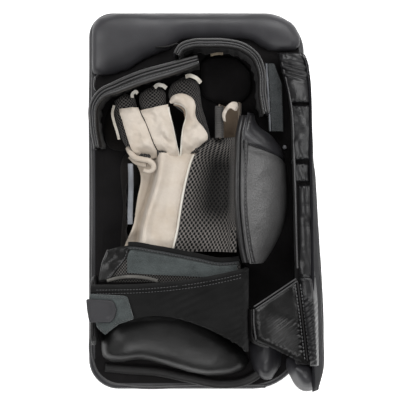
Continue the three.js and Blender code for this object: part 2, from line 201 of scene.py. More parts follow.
def smooth(stations):
    """A smooth function through [position, value] stations."""
    at, value = (np.array(column, float) for column in zip(*stations))
    slope = np.gradient(value, at)

    def curve(x):
        x = np.clip(np.asarray(x, float), at[0], at[-1])
        i = np.clip(np.searchsorted(at, x, side="right") - 1, 0, len(at) - 2)
        step = at[i + 1] - at[i]
        t = (x - at[i]) / step
        start = (2 * t**3 - 3 * t**2 + 1) * value[i] + (t**3 - 2 * t**2 + t) * step * slope[i]
        end = (3 * t**2 - 2 * t**3) * value[i + 1] + (t**3 - t**2) * step * slope[i + 1]
        return start + end

    return curve


def distance_along(line):
    """How far each point of a line is from its start, along the line."""
    return np.concatenate([[0], np.cumsum(np.linalg.norm(np.diff(line, axis=0), axis=1))])


def unit_grid(rows, columns):
    """Two grids: 0 to 1 down the rows, and 0 to 1 along the columns."""
    return np.meshgrid(np.linspace(0, 1, rows), np.linspace(0, 1, columns), indexing="ij")


def divided(corners, steps):
    """A closed outline with extra points along its straight sides."""
    corners = np.array(corners, float)
    points = []
    for a, b in zip(corners, np.roll(corners, -1, axis=0)):
        points += [a + (b - a) * t for t in np.linspace(0, 1, steps, endpoint=False)]
    return np.array(points)


def route(points, count):
    """Evenly spaced points along a smooth curve through the given points."""
    points = np.array(points, float)
    chord = distance_along(points)
    fine = np.linspace(0, chord[-1], 60 * len(points))
    line = np.stack([smooth(list(zip(chord, column)))(fine) for column in points.T], axis=1)
    run = distance_along(line)
    at = np.linspace(0, run[-1], count)
    return np.stack([np.interp(at, run, column) for column in line.T], axis=1)


def route_rows(grid, count):
    """More rows between the rows of a grid, on smooth curves."""
    return np.stack([route(grid[:, k], count) for k in range(grid.shape[1])], axis=1)


def loop_route(points, count):
    """Evenly spaced points round a smooth closed curve."""
    wrapped = np.array([*points[-3:], *points, *points[:4]], float)
    chord = distance_along(wrapped)
    fine = np.linspace(chord[3], chord[3 + len(points)], 60 * len(points))
    line = np.stack([smooth(list(zip(chord, column)))(fine) for column in wrapped.T], axis=1)
    run = distance_along(line)
    at = np.linspace(0, run[-1], count, endpoint=False)
    return np.stack([np.interp(at, run, column) for column in line.T], axis=1)


def plan_normals(line):
    """Unit vectors to the left of a plan line, at each of its points."""
    along = np.gradient(line[:, :2], axis=0)
    along /= np.linalg.norm(along, axis=1)[:, None]
    return np.stack([-along[:, 1], along[:, 0]], axis=1)


def ease(low, high, x):
    """0 below low, 1 above high and a smooth step between them."""
    t = np.clip((x - low) / (high - low), 0, 1)
    return t * t * (3 - 2 * t)


def hump(x, centre, width):
    """A smooth bump of height 1."""
    return np.exp(-((x - centre) / width) ** 2)


def wander(x, y, scale, seed):
    """Smooth seeded noise over the plane, about -1 to 1."""
    rng = np.random.default_rng(seed)
    bend = rng.uniform(0, 2 * math.pi, 4)
    x, y = (x + 0.22 * scale * np.sin(y / scale * 2.9 + bend[0]) + 0.1 * scale * np.sin(y / scale * 7.1 + bend[1]),
            y + 0.22 * scale * np.sin(x / scale * 3.3 + bend[2]) + 0.1 * scale * np.sin(x / scale * 6.3 + bend[3]))
    total = 0
    for _ in range(12):
        angle, phase = rng.uniform(0, 2 * math.pi, 2)
        pace = rng.uniform(0.35, 1.7)
        wave = pace * 2 * math.pi / scale
        total = total + np.sin(wave * (x * math.cos(angle) + y * math.sin(angle)) + phase) / (0.6 + pace)
    return total / 3.2


# ---------------------------------------------------------------- meshes

def make_object(name, points, faces, uv=None):
    """A smooth-shaded mesh object from points in millimetres."""
    mesh = bpy.data.meshes.new(name)
    mesh.from_pydata((np.asarray(points, float).reshape(-1, 3) * MM).tolist(), [], faces)
    mesh.validate()
    mesh.update()
    mesh.shade_smooth()
    if uv is not None:
        layer = mesh.uv_layers.new(name="UVMap")
        corner = np.empty(len(mesh.loops), np.int32)
        mesh.loops.foreach_get("vertex_index", corner)
        layer.data.foreach_set("uv", np.asarray(uv, float)[corner].ravel())
    piece = bpy.data.objects.new(name, mesh)
    bpy.context.scene.collection.objects.link(piece)
    return piece


def grid_faces(rows, columns, wrap=False, offset=0, flip=False):
    """Quads over a grid of points; wrap joins the last column to the first."""
    faces = []
    for r in range(rows - 1):
        for c in range(columns if wrap else columns - 1):
            d = (c + 1) % columns
            quad = [r * columns + c, r * columns + d, (r + 1) * columns + d, (r + 1) * columns + c]
            quad = [q + offset for q in quad]
            faces.append(quad[::-1] if flip else quad)
    return faces


def loft(name, rings, uv=None):
    """A closed solid through rings of points; each ring runs anticlockwise seen from the last ring."""
    sections, count = rings.shape[:2]
    faces = grid_faces(sections, count, wrap=True)
    faces.append(list(range(count))[::-1])
    faces.append([(sections - 1) * count + i for i in range(count)])
    return make_object(name, rings, faces, uv)


def surface_normals(grid):
    normal = np.cross(np.gradient(grid, axis=0), np.gradient(grid, axis=1))
    return normal / np.maximum(np.linalg.norm(normal, axis=2), 1e-9)[..., None]


def sheet(name, grid, thickness, uv=None):
    """A thin closed sheet about a grid of points, facing up, thinner along its border."""
    normal = surface_normals(grid)
    flip = bool(normal[..., 2].mean() < 0)
    if flip:
        normal = -normal
    rows, columns = grid.shape[:2]
    soft = np.minimum(1, 0.45 + 0.55 * edge_share(rows, columns))
    middle = grid - normal * thickness / 2
    top = middle + normal * (soft * thickness / 2)[..., None]
    bottom = middle - normal * (soft * thickness / 2)[..., None]
    size = rows * columns
    faces = grid_faces(rows, columns, flip=flip)
    faces += grid_faces(rows, columns, offset=size, flip=not flip)
    rim = [r * columns for r in range(rows)]
    rim += [(rows - 1) * columns + c for c in range(1, columns)]
    rim += [r * columns + columns - 1 for r in range(rows - 2, -1, -1)]
    rim += list(range(columns - 2, 0, -1))
    for a, b in zip(rim, rim[1:] + rim[:1]):
        quad = [a, b, b + size, a + size]
        faces.append(quad if flip else quad[::-1])
    points = np.concatenate([top.reshape(-1, 3), bottom.reshape(-1, 3)])
    both = None if uv is None else np.concatenate([uv.reshape(-1, 2)] * 2)
    return make_object(name, points, faces, both)


def edge_share(rows, columns):
    """0 on the border of a grid, rising to 1 two steps inside it."""
    r = np.minimum(np.arange(rows), np.arange(rows)[::-1])[:, None]
    c = np.minimum(np.arange(columns), np.arange(columns)[::-1])[None, :]
    return np.minimum(1, np.minimum(r, c) / 2)


def tube(name, line, radius, sides=10, flat=1.0):
    """A rod along a line; radius may change along it, and flat squeezes it in height."""
    line = np.asarray(line, float)
    radius = np.broadcast_to(radius, len(line))
    along = np.gradient(line, axis=0)
    along /= np.linalg.norm(along, axis=1)[:, None]
    side = np.cross(along, [0.0, 0.0, 1.0])
    side /= np.maximum(np.linalg.norm(side, axis=1), 1e-6)[:, None]
    up = np.cross(side, along)
    angle = np.linspace(0, 2 * math.pi, sides, endpoint=False)
    ring = (side[:, None] * np.cos(angle)[:, None] + flat * up[:, None] * np.sin(angle)[:, None])
    rings = line[:, None] + ring * radius[:, None, None]
    return loft(name, rings)


def distance_inside(points, outline):
    """How far each plan point is from a closed outline."""
    a, b = outline, np.roll(outline, -1, axis=0)
    ab = b - a
    best = np.full(len(points), 1e9)
    for start, step in zip(a, ab):
        t = np.clip(((points - start) @ step) / max(step @ step, 1e-12), 0, 1)
        best = np.minimum(best, np.linalg.norm(points - start - t[:, None] * step, axis=1))
    return best


# A puffed solid has rings of points this far inside its outline, and an even field of them further in
RIM_STEPS = (0.5, 1.3, 2.6, 4.4)
CORE_DEPTH = 6


def puff(name, outline, height, floor, pitch=3.0):
    """A solid over a plan outline. height(x, y, inward) and floor(x, y, inward) give its two faces."""
    outline = np.asarray(outline, float)
    inward = plan_normals(np.vstack([outline[-1:], outline, outline[:1]]))[1:-1]
    low, high = outline.min(axis=0), outline.max(axis=0)
    xs, ys = (np.arange(low[k] + pitch / 2, high[k], pitch) for k in (0, 1))
    field = np.stack(np.meshgrid(xs, ys), axis=-1).reshape(-1, 2)
    keep = [field[distance_inside(field, outline) > CORE_DEPTH]]
    for step in RIM_STEPS:
        ring = outline + inward * step
        keep.append(ring[distance_inside(ring, outline) > 0.9 * step])
    extra = np.concatenate(keep)
    n = len(outline)
    edges = [(i, (i + 1) % n) for i in range(n)]
    plan = [Vector(p) for p in np.concatenate([outline, extra]).tolist()]
    points, _, triangles, *_ = delaunay_2d_cdt(plan, edges, [list(range(n))], 1, 1e-4)
    points = np.array([list(p) for p in points])
    depth = distance_inside(points, outline)
    x, y = points.T
    top = np.column_stack([x, y, height(x, y, depth)])
    bottom = np.column_stack([x, y, floor(x, y, depth)])
    size = len(points)
    faces = [list(t) for t in triangles] + [[i + size for i in t][::-1] for t in triangles]
    used = {(a, b): True for t in triangles for a, b in zip(t, list(t[1:]) + [t[0]])}
    for a, b in used:
        if (b, a) not in used:
            faces.append([b, a, a + size, b + size])
    return make_object(name, np.concatenate([top, bottom]), faces)


def flat_at(level):
    """A flat underside for puff."""
    return lambda x, y, depth: np.full_like(x, level)


def panel(name, left, right, rows, columns, level, thickness=1.4):
    """A sheet ruled between two plan edges; level(u, v, x, y) gives its height."""
    a, b = route(left, rows), route(right, rows)
    v, u = unit_grid(rows, columns)
    plan = a[:, None] * (1 - u[..., None]) + b[:, None] * u[..., None]
    x, y = plan[..., 0], plan[..., 1]
    return sheet(name, np.stack([x, y, level(u, v, x, y)], axis=-1), thickness, uv=plan)


def sleeve(name, left, right, level, tall, seed, rows=60, sides=56):
    """A closed tube between two plan edges, rounded off at its far end, with its UV in millimetres."""
    a, b = route(left, rows), route(right, rows)
    centre, half = (a + b) / 2, (b - a) / 2
    run = distance_along(centre)
    angle = np.linspace(0, 2 * math.pi, sides, endpoint=False)
    c = np.sign(np.cos(angle)) * np.abs(np.cos(angle)) ** 0.85
    d = np.sign(np.sin(angle)) * np.abs(np.sin(angle)) ** 0.85
    close = np.sqrt(np.maximum(0.03, 1 - ease(run[-1] - 9, run[-1] + 0.5, run) ** 2))
    rings = np.empty((rows, sides, 3))
    rings[..., :2] = centre[:, None] + half[:, None] * (c[:, None] * close[:, None, None])
    arc = angle / (2 * math.pi) * 2.4 * np.linalg.norm(half, axis=1).max() * 2
    ripple = 0.8 * wander(run[:, None], arc[None], 14, seed) + 0.5 * wander(run[:, None], arc[None], 6, seed + 1)
    rings[..., 2] = level + (tall * close)[:, None] * d + ripple * close[:, None] * (d > -0.5)
    uv = np.stack(np.broadcast_arrays(arc[None, ::-1], run[:, None]), axis=-1).reshape(-1, 2)
    return loft(name, rings[:, ::-1], uv)


def ribbon(name, path, width, thickness=1.1):
    """A narrow strap along a path, its width lying flat."""
    line = route(path, 24)
    side = plan_normals(line)
    across = np.linspace(-width / 2, width / 2, 6)
    grid = np.empty((len(line), 6, 3))
    grid[..., :2] = line[:, None, :2] + side[:, None] * across[None, :, None]
    grid[..., 2] = line[:, 2:]
    return sheet(name, grid, thickness)


def dome(depth, radius):
    """0 at the edge, rising to 1 as a quarter circle of the given radius."""
    t = np.clip(depth / radius, 0, 1)
    return np.sqrt(1 - (1 - t) ** 2)


def swell(piece, voxel=4.5, pressure=4.0, cap=6.0, pinned=None):
    """Fills a pad by cloth simulation, and leaves the result as a plain mesh."""
    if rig.quick():
        return piece
    bpy.context.view_layer.objects.active = piece
    remesh = piece.modifiers.new("even", "REMESH")
    remesh.mode = "VOXEL"
    remesh.voxel_size = voxel * MM
    remesh.use_smooth_shade = True
    bpy.ops.object.modifier_apply(modifier=remesh.name)
    rest = np.empty(len(piece.data.vertices) * 3)
    piece.data.vertices.foreach_get("co", rest)
    if pinned is not None:
        group = piece.vertex_groups.new(name="pinned")
        held = [i for i, p in enumerate(rest.reshape(-1, 3) / MM) if pinned(p)]
        group.add(held, 1.0, "REPLACE")
    cloth = piece.modifiers.new("fill", "CLOTH")
    cloth.settings.quality = 6
    cloth.settings.use_pressure = True
    cloth.settings.uniform_pressure_force = pressure
    cloth.settings.effector_weights.gravity = 0
    if pinned is not None:
        cloth.settings.vertex_group_mass = "pinned"
    cloth.point_cache.frame_start, cloth.point_cache.frame_end = 1, 20
    scene = bpy.context.scene
    for step in range(1, 21):
        scene.frame_set(step)
    filled = piece.evaluated_get(bpy.context.evaluated_depsgraph_get()).data
    moved = np.empty(len(filled.vertices) * 3)
    filled.vertices.foreach_get("co", moved)
    rest, moved = rest.reshape(-1, 3), moved.reshape(-1, 3)
    step = moved - rest
    length = np.linalg.norm(step, axis=1)
    step *= np.minimum(1, cap * MM / np.maximum(length, 1e-9))[:, None]
    piece.modifiers.clear()
    scene.frame_set(1)
    piece.data.vertices.foreach_set("co", (rest + step).ravel())
    piece.data.update()
    smoothing = piece.modifiers.new("relax", "SMOOTH")
    smoothing.iterations = 4
    bpy.ops.object.modifier_apply(modifier=smoothing.name)
    finer = piece.modifiers.new("finer", "SUBSURF")
    finer.levels = finer.render_levels = 1
    bpy.ops.object.modifier_apply(modifier=finer.name)
    piece.data.shade_smooth()
    return piece


def stitches(name, line, pitch=3.2, length=2.2, radius=0.38, lift=0.0):
    """A row of sewn stitches along a line."""
    line = np.asarray(line, float)
    run = distance_along(line)
    points, faces = [], []
    sides, rings = 6, 5
    for start in np.arange(pitch / 2, run[-1] - length, pitch):
        at = start + np.linspace(0, length, rings)
        middle = np.stack([np.interp(at, run, column) for column in line.T], axis=1)
        bow = np.sin(np.linspace(0, math.pi, rings))
        middle[:, 2] += lift + 0.35 * radius * bow
        along = middle[-1] - middle[0]
        along /= np.linalg.norm(along)
        side = np.cross(along, [0, 0, 1.0])
        side /= max(np.linalg.norm(side), 1e-6)
        up = np.cross(side, along)
        offset = len(points)
        for ring in range(rings):
            size = radius * (0.35 + 0.65 * bow[ring])
            for k in range(sides):
                turn = 2 * math.pi * k / sides
                points.append(middle[ring] + size * (side * math.cos(turn) + up * math.sin(turn)))
        faces += grid_faces(rings, sides, wrap=True, offset=offset)
        faces.append([offset + k for k in range(sides)][::-1])
        faces.append([offset + (rings - 1) * sides + k for k in range(sides)])
    return make_object(name, np.array(points), faces)


# ---------------------------------------------------------------- materials

def scaled(colour, share):
    return tuple(share * c for c in colour)


class Shader:
    """Builds one procedural material round a Principled shader."""

    def __init__(self, name, roughness, sheen=0.0, specular=0.5, coat=0.0):
        self.material = bpy.data.materials.new(name)
        self.material.use_nodes = True
        self.tree = self.material.node_tree
        self.surface = self.tree.nodes["Principled BSDF"]
        self.surface.inputs["Roughness"].default_value = roughness
        self.surface.inputs["Specular IOR Level"].default_value = specular
        self.surface.inputs["Sheen Weight"].default_value = sheen
        self.surface.inputs["Sheen Roughness"].default_value = 0.5
        self.surface.inputs["Coat Weight"].default_value = coat
        self.surface.inputs["Coat Roughness"].default_value = 0.25
        self.place = self.tree.nodes.new("ShaderNodeTexCoord").outputs["Object"]
        self.uv = self.tree.nodes.new("ShaderNodeTexCoord").outputs["UV"]

    def node(self, kind, values=None, **settings):
        made = self.tree.nodes.new(kind)
        for key, value in settings.items():
            setattr(made, key, value)
        for key, value in (values or {}).items():
            if isinstance(value, bpy.types.NodeSocket):
                self.tree.links.new(value, made.inputs[key])
            else:
                made.inputs[key].default_value = value
        return made

    def noise(self, size_mm, detail=3.0, rough=0.55, stretch=(1, 1, 1)):
        spread = self.node("ShaderNodeMapping", {"Vector": self.place, "Scale": stretch})
        values = {"Vector": spread.outputs[0], "Scale": 1000 / size_mm, "Detail": detail, "Roughness": rough}
        return self.node("ShaderNodeTexNoise", values).outputs["Fac"]

    def cells(self, size_mm, feature="F1"):
        values = {"Vector": self.place, "Scale": 1000 / size_mm}
        return self.node("ShaderNodeTexVoronoi", values, feature=feature).outputs["Distance"]

    def waves(self, pitch_mm, turn=0.0):
        values = {"Vector": self.place, "Rotation": (0, 0, math.radians(turn))}
        turned = self.node("ShaderNodeMapping", values)
        values = {"Vector": turned.outputs[0], "Scale": 100 * math.pi / pitch_mm}
        return self.node("ShaderNodeTexWave", values, wave_type="BANDS", bands_direction="X").outputs["Fac"]

    def math(self, operation, a, b=0.0):
        return self.node("ShaderNodeMath", {0: a, 1: b}, operation=operation).outputs[0]

    def spread(self, value, low, high, to_low=0.0, to_high=1.0):
        values = {0: value, 1: low, 2: high, 3: to_low, 4: to_high}
        return self.node("ShaderNodeMapRange", values, clamp=True).outputs[0]

    def blend(self, share, first, second):
        made = self.node("ShaderNodeMix", {"Factor": share}, data_type="RGBA")
        for socket, colour in ((made.inputs[6], first), (made.inputs[7], second)):
            if isinstance(colour, bpy.types.NodeSocket):
                self.tree.links.new(colour, socket)
            else:
                socket.default_value = (*colour, 1)
        return made.outputs[2]

    def colour(self, socket):
        self.tree.links.new(socket, self.surface.inputs["Base Color"])

    def height(self, low, high):
        """0 at or below one height in millimetres, 1 at or above the other."""
        level = self.node("ShaderNodeSeparateXYZ", {"Vector": self.place}).outputs[2]
        return self.spread(level, low * MM, high * MM)

    def roughness(self, socket):
        self.tree.links.new(socket, self.surface.inputs["Roughness"])

    def bump(self, *layers):
        """Each layer is (height, depth in millimetres)."""
        normal = None
        for height, depth in layers:
            values = {"Height": height, "Strength": 1.0, "Distance": depth * MM}
            if normal is not None:
                values["Normal"] = normal
            normal = self.node("ShaderNodeBump", values).outputs[0]
        self.tree.links.new(normal, self.surface.inputs["Normal"])


def leather(name, colour, roughness, grain_mm, grain_depth, crease_depth=0.0, coat=0.0, specular=0.5, deep=None):
    """Coated leather: pebbled grain, slow colour change and creases; deep gives two heights in millimetres
    between which its colour fades from a painted shade, a quarter as bright, below to its own colour above."""
    s = Shader(name, roughness, coat=coat, specular=specular)
    dark = scaled(colour, 0.72)
    light = scaled(colour, 1.3)
    patches = s.noise(38, 4)
    grain = s.cells(grain_mm, "SMOOTH_F1")
    tone = s.blend(s.spread(patches, 0.35, 0.65), dark, light)
    tone = s.blend(s.spread(grain, 0.15, 0.6, 0, 0.45), tone, dark)
    # Painted shade: darker low down on the piece, where shade falls.
    if deep is not None:
        tone = s.blend(s.height(*deep), scaled(colour, 0.25), tone)
    s.colour(tone)
    s.roughness(s.spread(s.noise(22, 4), 0.3, 0.7, roughness - 0.05, roughness + 0.09))
    crease = s.noise(15, 5, 0.6, (1.0, 1.7, 1.0))
    s.bump((s.spread(grain, 0.0, 0.7), grain_depth), (crease, crease_depth), (s.noise(0.5, 2), 0.012))
    return s.material


def suede(name, colour, deep=(60, 70)):
    """Synthetic nash suede: pale, dry and slightly napped, patchy where it has been handled, and painted browner low
    down in its folds and hollows as painted shade.
    """
    s = Shader(name, 0.95, sheen=0.2, specular=0.15)
    warm = tuple(c * k for c, k in zip(colour, (0.84, 0.8, 0.75)))
    brown = tuple(c * k for c, k in zip(colour, (0.5, 0.46, 0.41)))
    nap = s.noise(1.1, 4, 0.7)
    soil = s.noise(26, 5, 0.6)
    tone = s.blend(s.spread(soil, 0.42, 0.68), colour, warm)
    tone = s.blend(s.spread(nap, 0.4, 0.75, 0, 0.35), tone, warm)
    # Painted shade: browner below the deep heights, in folds and hollows.
    s.colour(s.blend(s.height(*deep), brown, tone))
    s.bump((s.noise(8, 5, 0.6), 0.7), (nap, 0.09), (s.noise(0.35, 2), 0.03))
    return s.material


def woven(name, colour, thread_mm, depth, roughness=0.85, sheen=0.05):
    """A plain weave of fine threads."""
    s = Shader(name, roughness, sheen=sheen, specular=0.14)
    warp = s.waves(thread_mm, 0)
    weft = s.waves(thread_mm, 90)
    fibre = s.math("MAXIMUM", warp, weft)
    dark = scaled(colour, 0.6)
    light = scaled(colour, 1.35)
    tone = s.blend(s.spread(s.noise(24, 4), 0.35, 0.65), dark, light)
    s.colour(s.blend(s.spread(fibre, 0.55, 1.0), dark, tone))
    s.bump((fibre, depth), (s.noise(14, 4, 0.6), 0.8))
    return s.material


def spacer_mesh(name, thread, hole, wide_mm, tall_mm, open_from, deep=(44, 50)):
    """Knitted spacer mesh: staggered holes in a thick net, laid out over the piece's own UV in millimetres."""
    s = Shader(name, 0.8, sheen=0.1, specular=0.2)
    place = s.node("ShaderNodeSeparateXYZ", {"Vector": s.uv})
    turns = [s.math("MULTIPLY", place.outputs[k], math.pi / pitch) for k, pitch in ((0, wide_mm), (1, tall_mm))]
    first = s.math("MULTIPLY", *[s.math("COSINE", turn) for turn in turns])
    second = s.math("MULTIPLY", *[s.math("SINE", turn) for turn in turns])
    net = s.math("MAXIMUM", s.math("ABSOLUTE", first), s.math("ABSOLUTE", second))
    open_share = s.spread(net, open_from, open_from + 0.1)
    dark = scaled(thread, 0.55)
    fibre = s.blend(s.spread(s.noise(1.2, 3), 0.35, 0.7), dark, thread)
    fibre = s.blend(s.spread(net, open_from - 0.25, open_from, 0.0, 0.5), fibre, dark)
    # Painted shade: below the deep heights the threads darken to near black, for the shaded hollow under the mesh.
    fibre = s.blend(s.height(*deep), scaled(thread, 0.12), fibre)
    s.colour(s.blend(open_share, fibre, hole))
    s.bump((s.math("SUBTRACT", 1.0, open_share), 0.8), (s.noise(0.8, 2), 0.12))
    return s.material


def loop_fabric(name, colour):
    """The brushed half of a hook-and-loop fastener: a dense fuzz of tiny loops."""
    s = Shader(name, 1.0, sheen=0.5, specular=0.1)
    fuzz = s.noise(0.9, 5, 0.8)
    tuft = s.cells(1.6, "F1")
    dark = scaled(colour, 0.45)
    light = scaled(colour, 1.7)
    tone = s.blend(s.spread(s.noise(11, 4), 0.35, 0.7), colour, dark)
    s.colour(s.blend(s.spread(fuzz, 0.42, 0.72), tone, light))
    s.bump((fuzz, 0.5), (tuft, 0.35))
    return s.material


def foam(name, colour):
    s = Shader(name, 0.9, specular=0.2)
    pores = s.cells(0.9)
    dark = scaled(colour, 0.5)
    s.colour(s.blend(s.spread(pores, 0.0, 0.5), dark, colour))
    s.bump((pores, 0.2))
    return s.material


def plastic(name, colour):
    s = Shader(name, 0.45)
    dark = scaled(colour, 0.85)
    s.colour(s.blend(s.spread(s.noise(30, 3), 0.4, 0.6), colour, dark))
    s.bump((s.noise(1.5, 3), 0.03))
    return s.material


def thread(name, colour):
    """Sewing thread: a fine twist along the stitches."""
    s = Shader(name, 0.7, sheen=0.2)
    twist = s.waves(0.5, 45)
    dark = scaled(colour, 0.5)
    s.colour(s.blend(twist, dark, colour))
    s.bump((twist, 0.08))
    return s.material


MATERIALS = {
    "board": leather("board_leather", (0.016, 0.0155, 0.0185), 0.42, 1.0, 0.03, 0.15),
    # roll is a lighter copy of the board leather, for the top roll and the side lobe: a painted highlight.
    "roll": leather("roll_leather", (0.03, 0.0293, 0.033), 0.44, 1.0, 0.03, 0.15),
    "side": leather("side_leather", (0.005, 0.0048, 0.0056), 0.36, 1.0, 0.035, 0.5, specular=0.4),
    "outer": leather("outer_leather", (0.011, 0.0108, 0.0125), 0.66, 1.0, 0.03, 0.12, specular=0.03),
    "back": woven("back_nylon", (0.0075, 0.0066, 0.007), 0.8, 0.08),
    # The pebbled leather is painted darker from about 100 mm down to 60 mm: painted shade across the thumb guard's
    # face, away from its crest.
    "pebbled": leather("pebbled_leather", (0.078, 0.077, 0.077), 0.46, 1.5, 0.22, 0.45, deep=(60, 100)),
    "cap": leather("cap_leather", (0.017, 0.0165, 0.019), 0.38, 1.1, 0.05, 0.4),
    "binding": leather("binding_leather", (0.026, 0.0255, 0.0255), 0.36, 0.9, 0.04, 0.35),
    "dark_binding": leather("dark_binding_leather", (0.011, 0.0105, 0.011), 0.38, 0.9, 0.04, 0.35),
    "gloss": leather("gloss_leather", (0.004, 0.0039, 0.0039), 0.42, 1.2, 0.05, 0.3, specular=0.42),
    "patch": leather("patch_leather", (0.0036, 0.0034, 0.0034), 0.3, 1.1, 0.05, 0.4, specular=0.35),
    "wrinkled": leather("wrinkled_leather", (0.0065, 0.006, 0.0062), 0.5, 1.2, 0.08, 1.0, specular=0.3),
    "nylon": woven("strap_nylon", (0.0078, 0.0078, 0.0078), 0.8, 0.09),
    "lining": woven("guard_lining", (0.011, 0.0092, 0.008), 1.6, 0.2),
    "suede": suede("palm_suede", (0.53, 0.475, 0.415)),
    # shaded_suede is a darker copy of the palm suede, for the index stall and the sheet under the middle finger's lip:
    # painted shade.
    "shaded_suede": suede("worn_suede", (0.26, 0.21, 0.165), deep=(48, 60)),
    "tab_suede": suede("tab_suede", (0.62, 0.6, 0.55)),
    # The gusset mesh is painted darker from 70 mm down to 53 mm and below: painted shade in its hollow.
    "mesh": spacer_mesh("spacer_mesh", (0.2, 0.183, 0.17), (0.002, 0.002, 0.002), 4.3, 5.4, 0.6, deep=(53, 70)),
    "fine_mesh": spacer_mesh("fine_mesh", (0.12, 0.111, 0.104), (0.002, 0.002, 0.002), 2.7, 3.4, 0.56),
    "loop": loop_fabric("loop_fabric", (0.046, 0.054, 0.054)),
    "hook": loop_fabric("hook_fabric", (0.055, 0.06, 0.062)),
    "webbing": woven("pale_webbing", (0.24, 0.25, 0.27), 1.1, 0.15),
    "webbing_dark": woven("dark_elastic", (0.1, 0.096, 0.092), 1.2, 0.2),
    "webbing_grey": woven("grey_tape", (0.13, 0.125, 0.115), 0.9, 0.12),
    "strap_edge": woven("edge_tape", (0.035, 0.037, 0.038), 0.8, 0.1),
    "strap_edge_black": woven("black_tape", (0.012, 0.012, 0.012), 0.8, 0.1),
    "foam": foam("board_foam", (0.15, 0.15, 0.155)),
    "plastic": plastic("stiffener_plastic", (0.7, 0.7, 0.68)),
    "rivet": plastic("rivet_plastic", (0.3, 0.3, 0.32)),
    "tape": woven("tan_tape", (0.2, 0.165, 0.12), 0.9, 0.1),
    "thread": thread("black_thread", (0.085, 0.085, 0.088)),
    # piping is lighter than the leathers it edges: a painted highlight where it catches the light.
    "piping": leather("piping_leather", (0.05, 0.049, 0.05), 0.32, 0.9, 0.02, 0.05),
}


def finish_piece(piece, body, look, slot, *nodes, blend=None):
    """Gives a piece its material and slot, lets it ride, and says which CAD nodes it stands for."""
    piece.data.materials.clear()
    piece.data.materials.append(MATERIALS[look])
    if blend is None:
        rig.ride(piece, body)
    else:
        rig.blend(piece, "board", body, *[tuple(c * MM for c in point) for point in blend])
    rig.slot(piece, slot)
    if nodes:
        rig.replaces(piece, *nodes)
    return piece


# ---------------------------------------------------------------- board

def board_outline(inset, per_corner=14):
    left, right = inset - BOARD_WIDTH / 2, BOARD_WIDTH / 2 - inset
    bottom, top = inset - BOARD_LENGTH / 2, BOARD_LENGTH / 2 - inset
    points = []
    quarters = (("top_right", right, top, -1, -1), ("top_left", left, top, 1, -1),
                ("bottom_left", left, bottom, 1, 1), ("bottom_right", right, bottom, -1, 1))
    for quarter, (corner, x, y, inward_x, inward_y) in enumerate(quarters):
        radius = max(CORNERS[corner] - inset, 1)
        for t in np.linspace(0, math.pi / 2, per_corner):
            angle = quarter * math.pi / 2 + t
            points.append([x + inward_x * radius + radius * math.cos(angle),
                           y + inward_y * radius + radius * math.sin(angle)])
    return np.array(points)


def build_board():
    front_round, back_round = 7, 6
    profile = [(22, 0), (front_round + 4, 0)]
    for t in np.linspace(0, math.pi / 2, 8):
        profile.append((front_round * (1 - math.sin(t)), front_round * (1 - math.cos(t))))
    profile += [(0, 14), (0, 21)]
    for t in np.linspace(0, math.pi / 2, 10):
        profile.append((back_round * (1 - math.cos(t)), BOARD_TOP - back_round * (1 - math.sin(t))))
    profile += [(back_round + 3, BOARD_TOP - 0.5), (24, BOARD_TOP - 0.9)]
    rings = []
    for inset, z in profile:
        ring = board_outline(inset)
        rings.append(np.column_stack([ring, np.full(len(ring), z)]))
    shell = loft("board_shell", np.array(rings))
    finish_piece(shell, "board", "board", "leather", "board_cover")

    outline = board_outline(5.2)

    def top(x, y, depth):
        wrinkle = 0.3 * np.sin((x - 0.8 * y) / 7 + 2 * wander(x, y, 60, 3)) * ease(3, 14, depth)
        return BOARD_TOP + 0.9 * dome(depth, 4) + wrinkle - 0.2

    panel = puff("board_back_panel", outline, top, flat_at(BOARD_TOP - 1.2), 4)
    finish_piece(panel, "board", "back", "nylon", "board_back_cover")

    edge = [[70, -188.2], [0, -188.2], [-70, -188], [-88, -184.8], [-101, -174.5], [-107, -158], [-107.4, -130],
            [-107.4, 0], [-107.4, 130], [-106.8, 146]]
    line = route(edge, 220)
    for name, shift, level, nodes in (("board_piping_outer", 0, 35.0, ["board_piping"]),
                                      ("board_piping_inner", 2.2, 37.7, [])):
        shifted = line - shift * plan_normals(line)
        pipe = tube(name, np.column_stack([shifted, np.full(len(line), level)]), 1.15)
        finish_piece(pipe, "board", "piping", "leather", *nodes)


def build_top_roll():
    outline = loop_route([
        [-99, 124.5], [-78, 127.8], [-63, 133.5], [-54, 140.5], [-41, 146], [-27, 151.5], [-16, 160],
        [10, 162], [40, 162], [56, 160], [68, 152], [80, 149.5], [98, 150], [106, 156], [105, 168],
        [96, 181], [80, 188.4], [40, 189.6], [-40, 189.6], [-86, 189.4], [-100, 185], [-107.4, 172],
        [-107.8, 158], [-107.6, 140], [-106, 128],
    ], 220)

    def top(x, y, depth):
        crown = 3.0 * ease(0, 18, depth) - 0.4 * wander(x, y, 90, 5)
        pull = 0.5 * np.sin(x / 5.5) * hump(y, 150, 5) * ease(62, 80, x)
        return 37.5 + 10.0 * dome(depth, 9) + crown + pull

    roll = puff("top_roll_pad", outline, top, lambda x, y, d: 37.6 - 6 * (1 - dome(d, 6)) * ease(150, 175, y), 3.2)
    swell(roll, voxel=4.0, pressure=2.0, cap=2.0, pinned=lambda p: p[2] < 38.2)
    finish_piece(roll, "board", "roll", "leather", "top_roll")
    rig.padded(roll, fill=0.8)
    # A very dark strip stands in for the slit in the roll; its darkness is painted shade.
    slit = tube("roll_slit", route([[-41, 154.6, 48.6], [-30, 154.9, 48.4], [-19, 158.5, 47.5]], 30), 1.1, 10, 0.6)
    finish_piece(slit, "board", "wrinkled", "leather")


# ---------------------------------------------------------------- fingertip guards

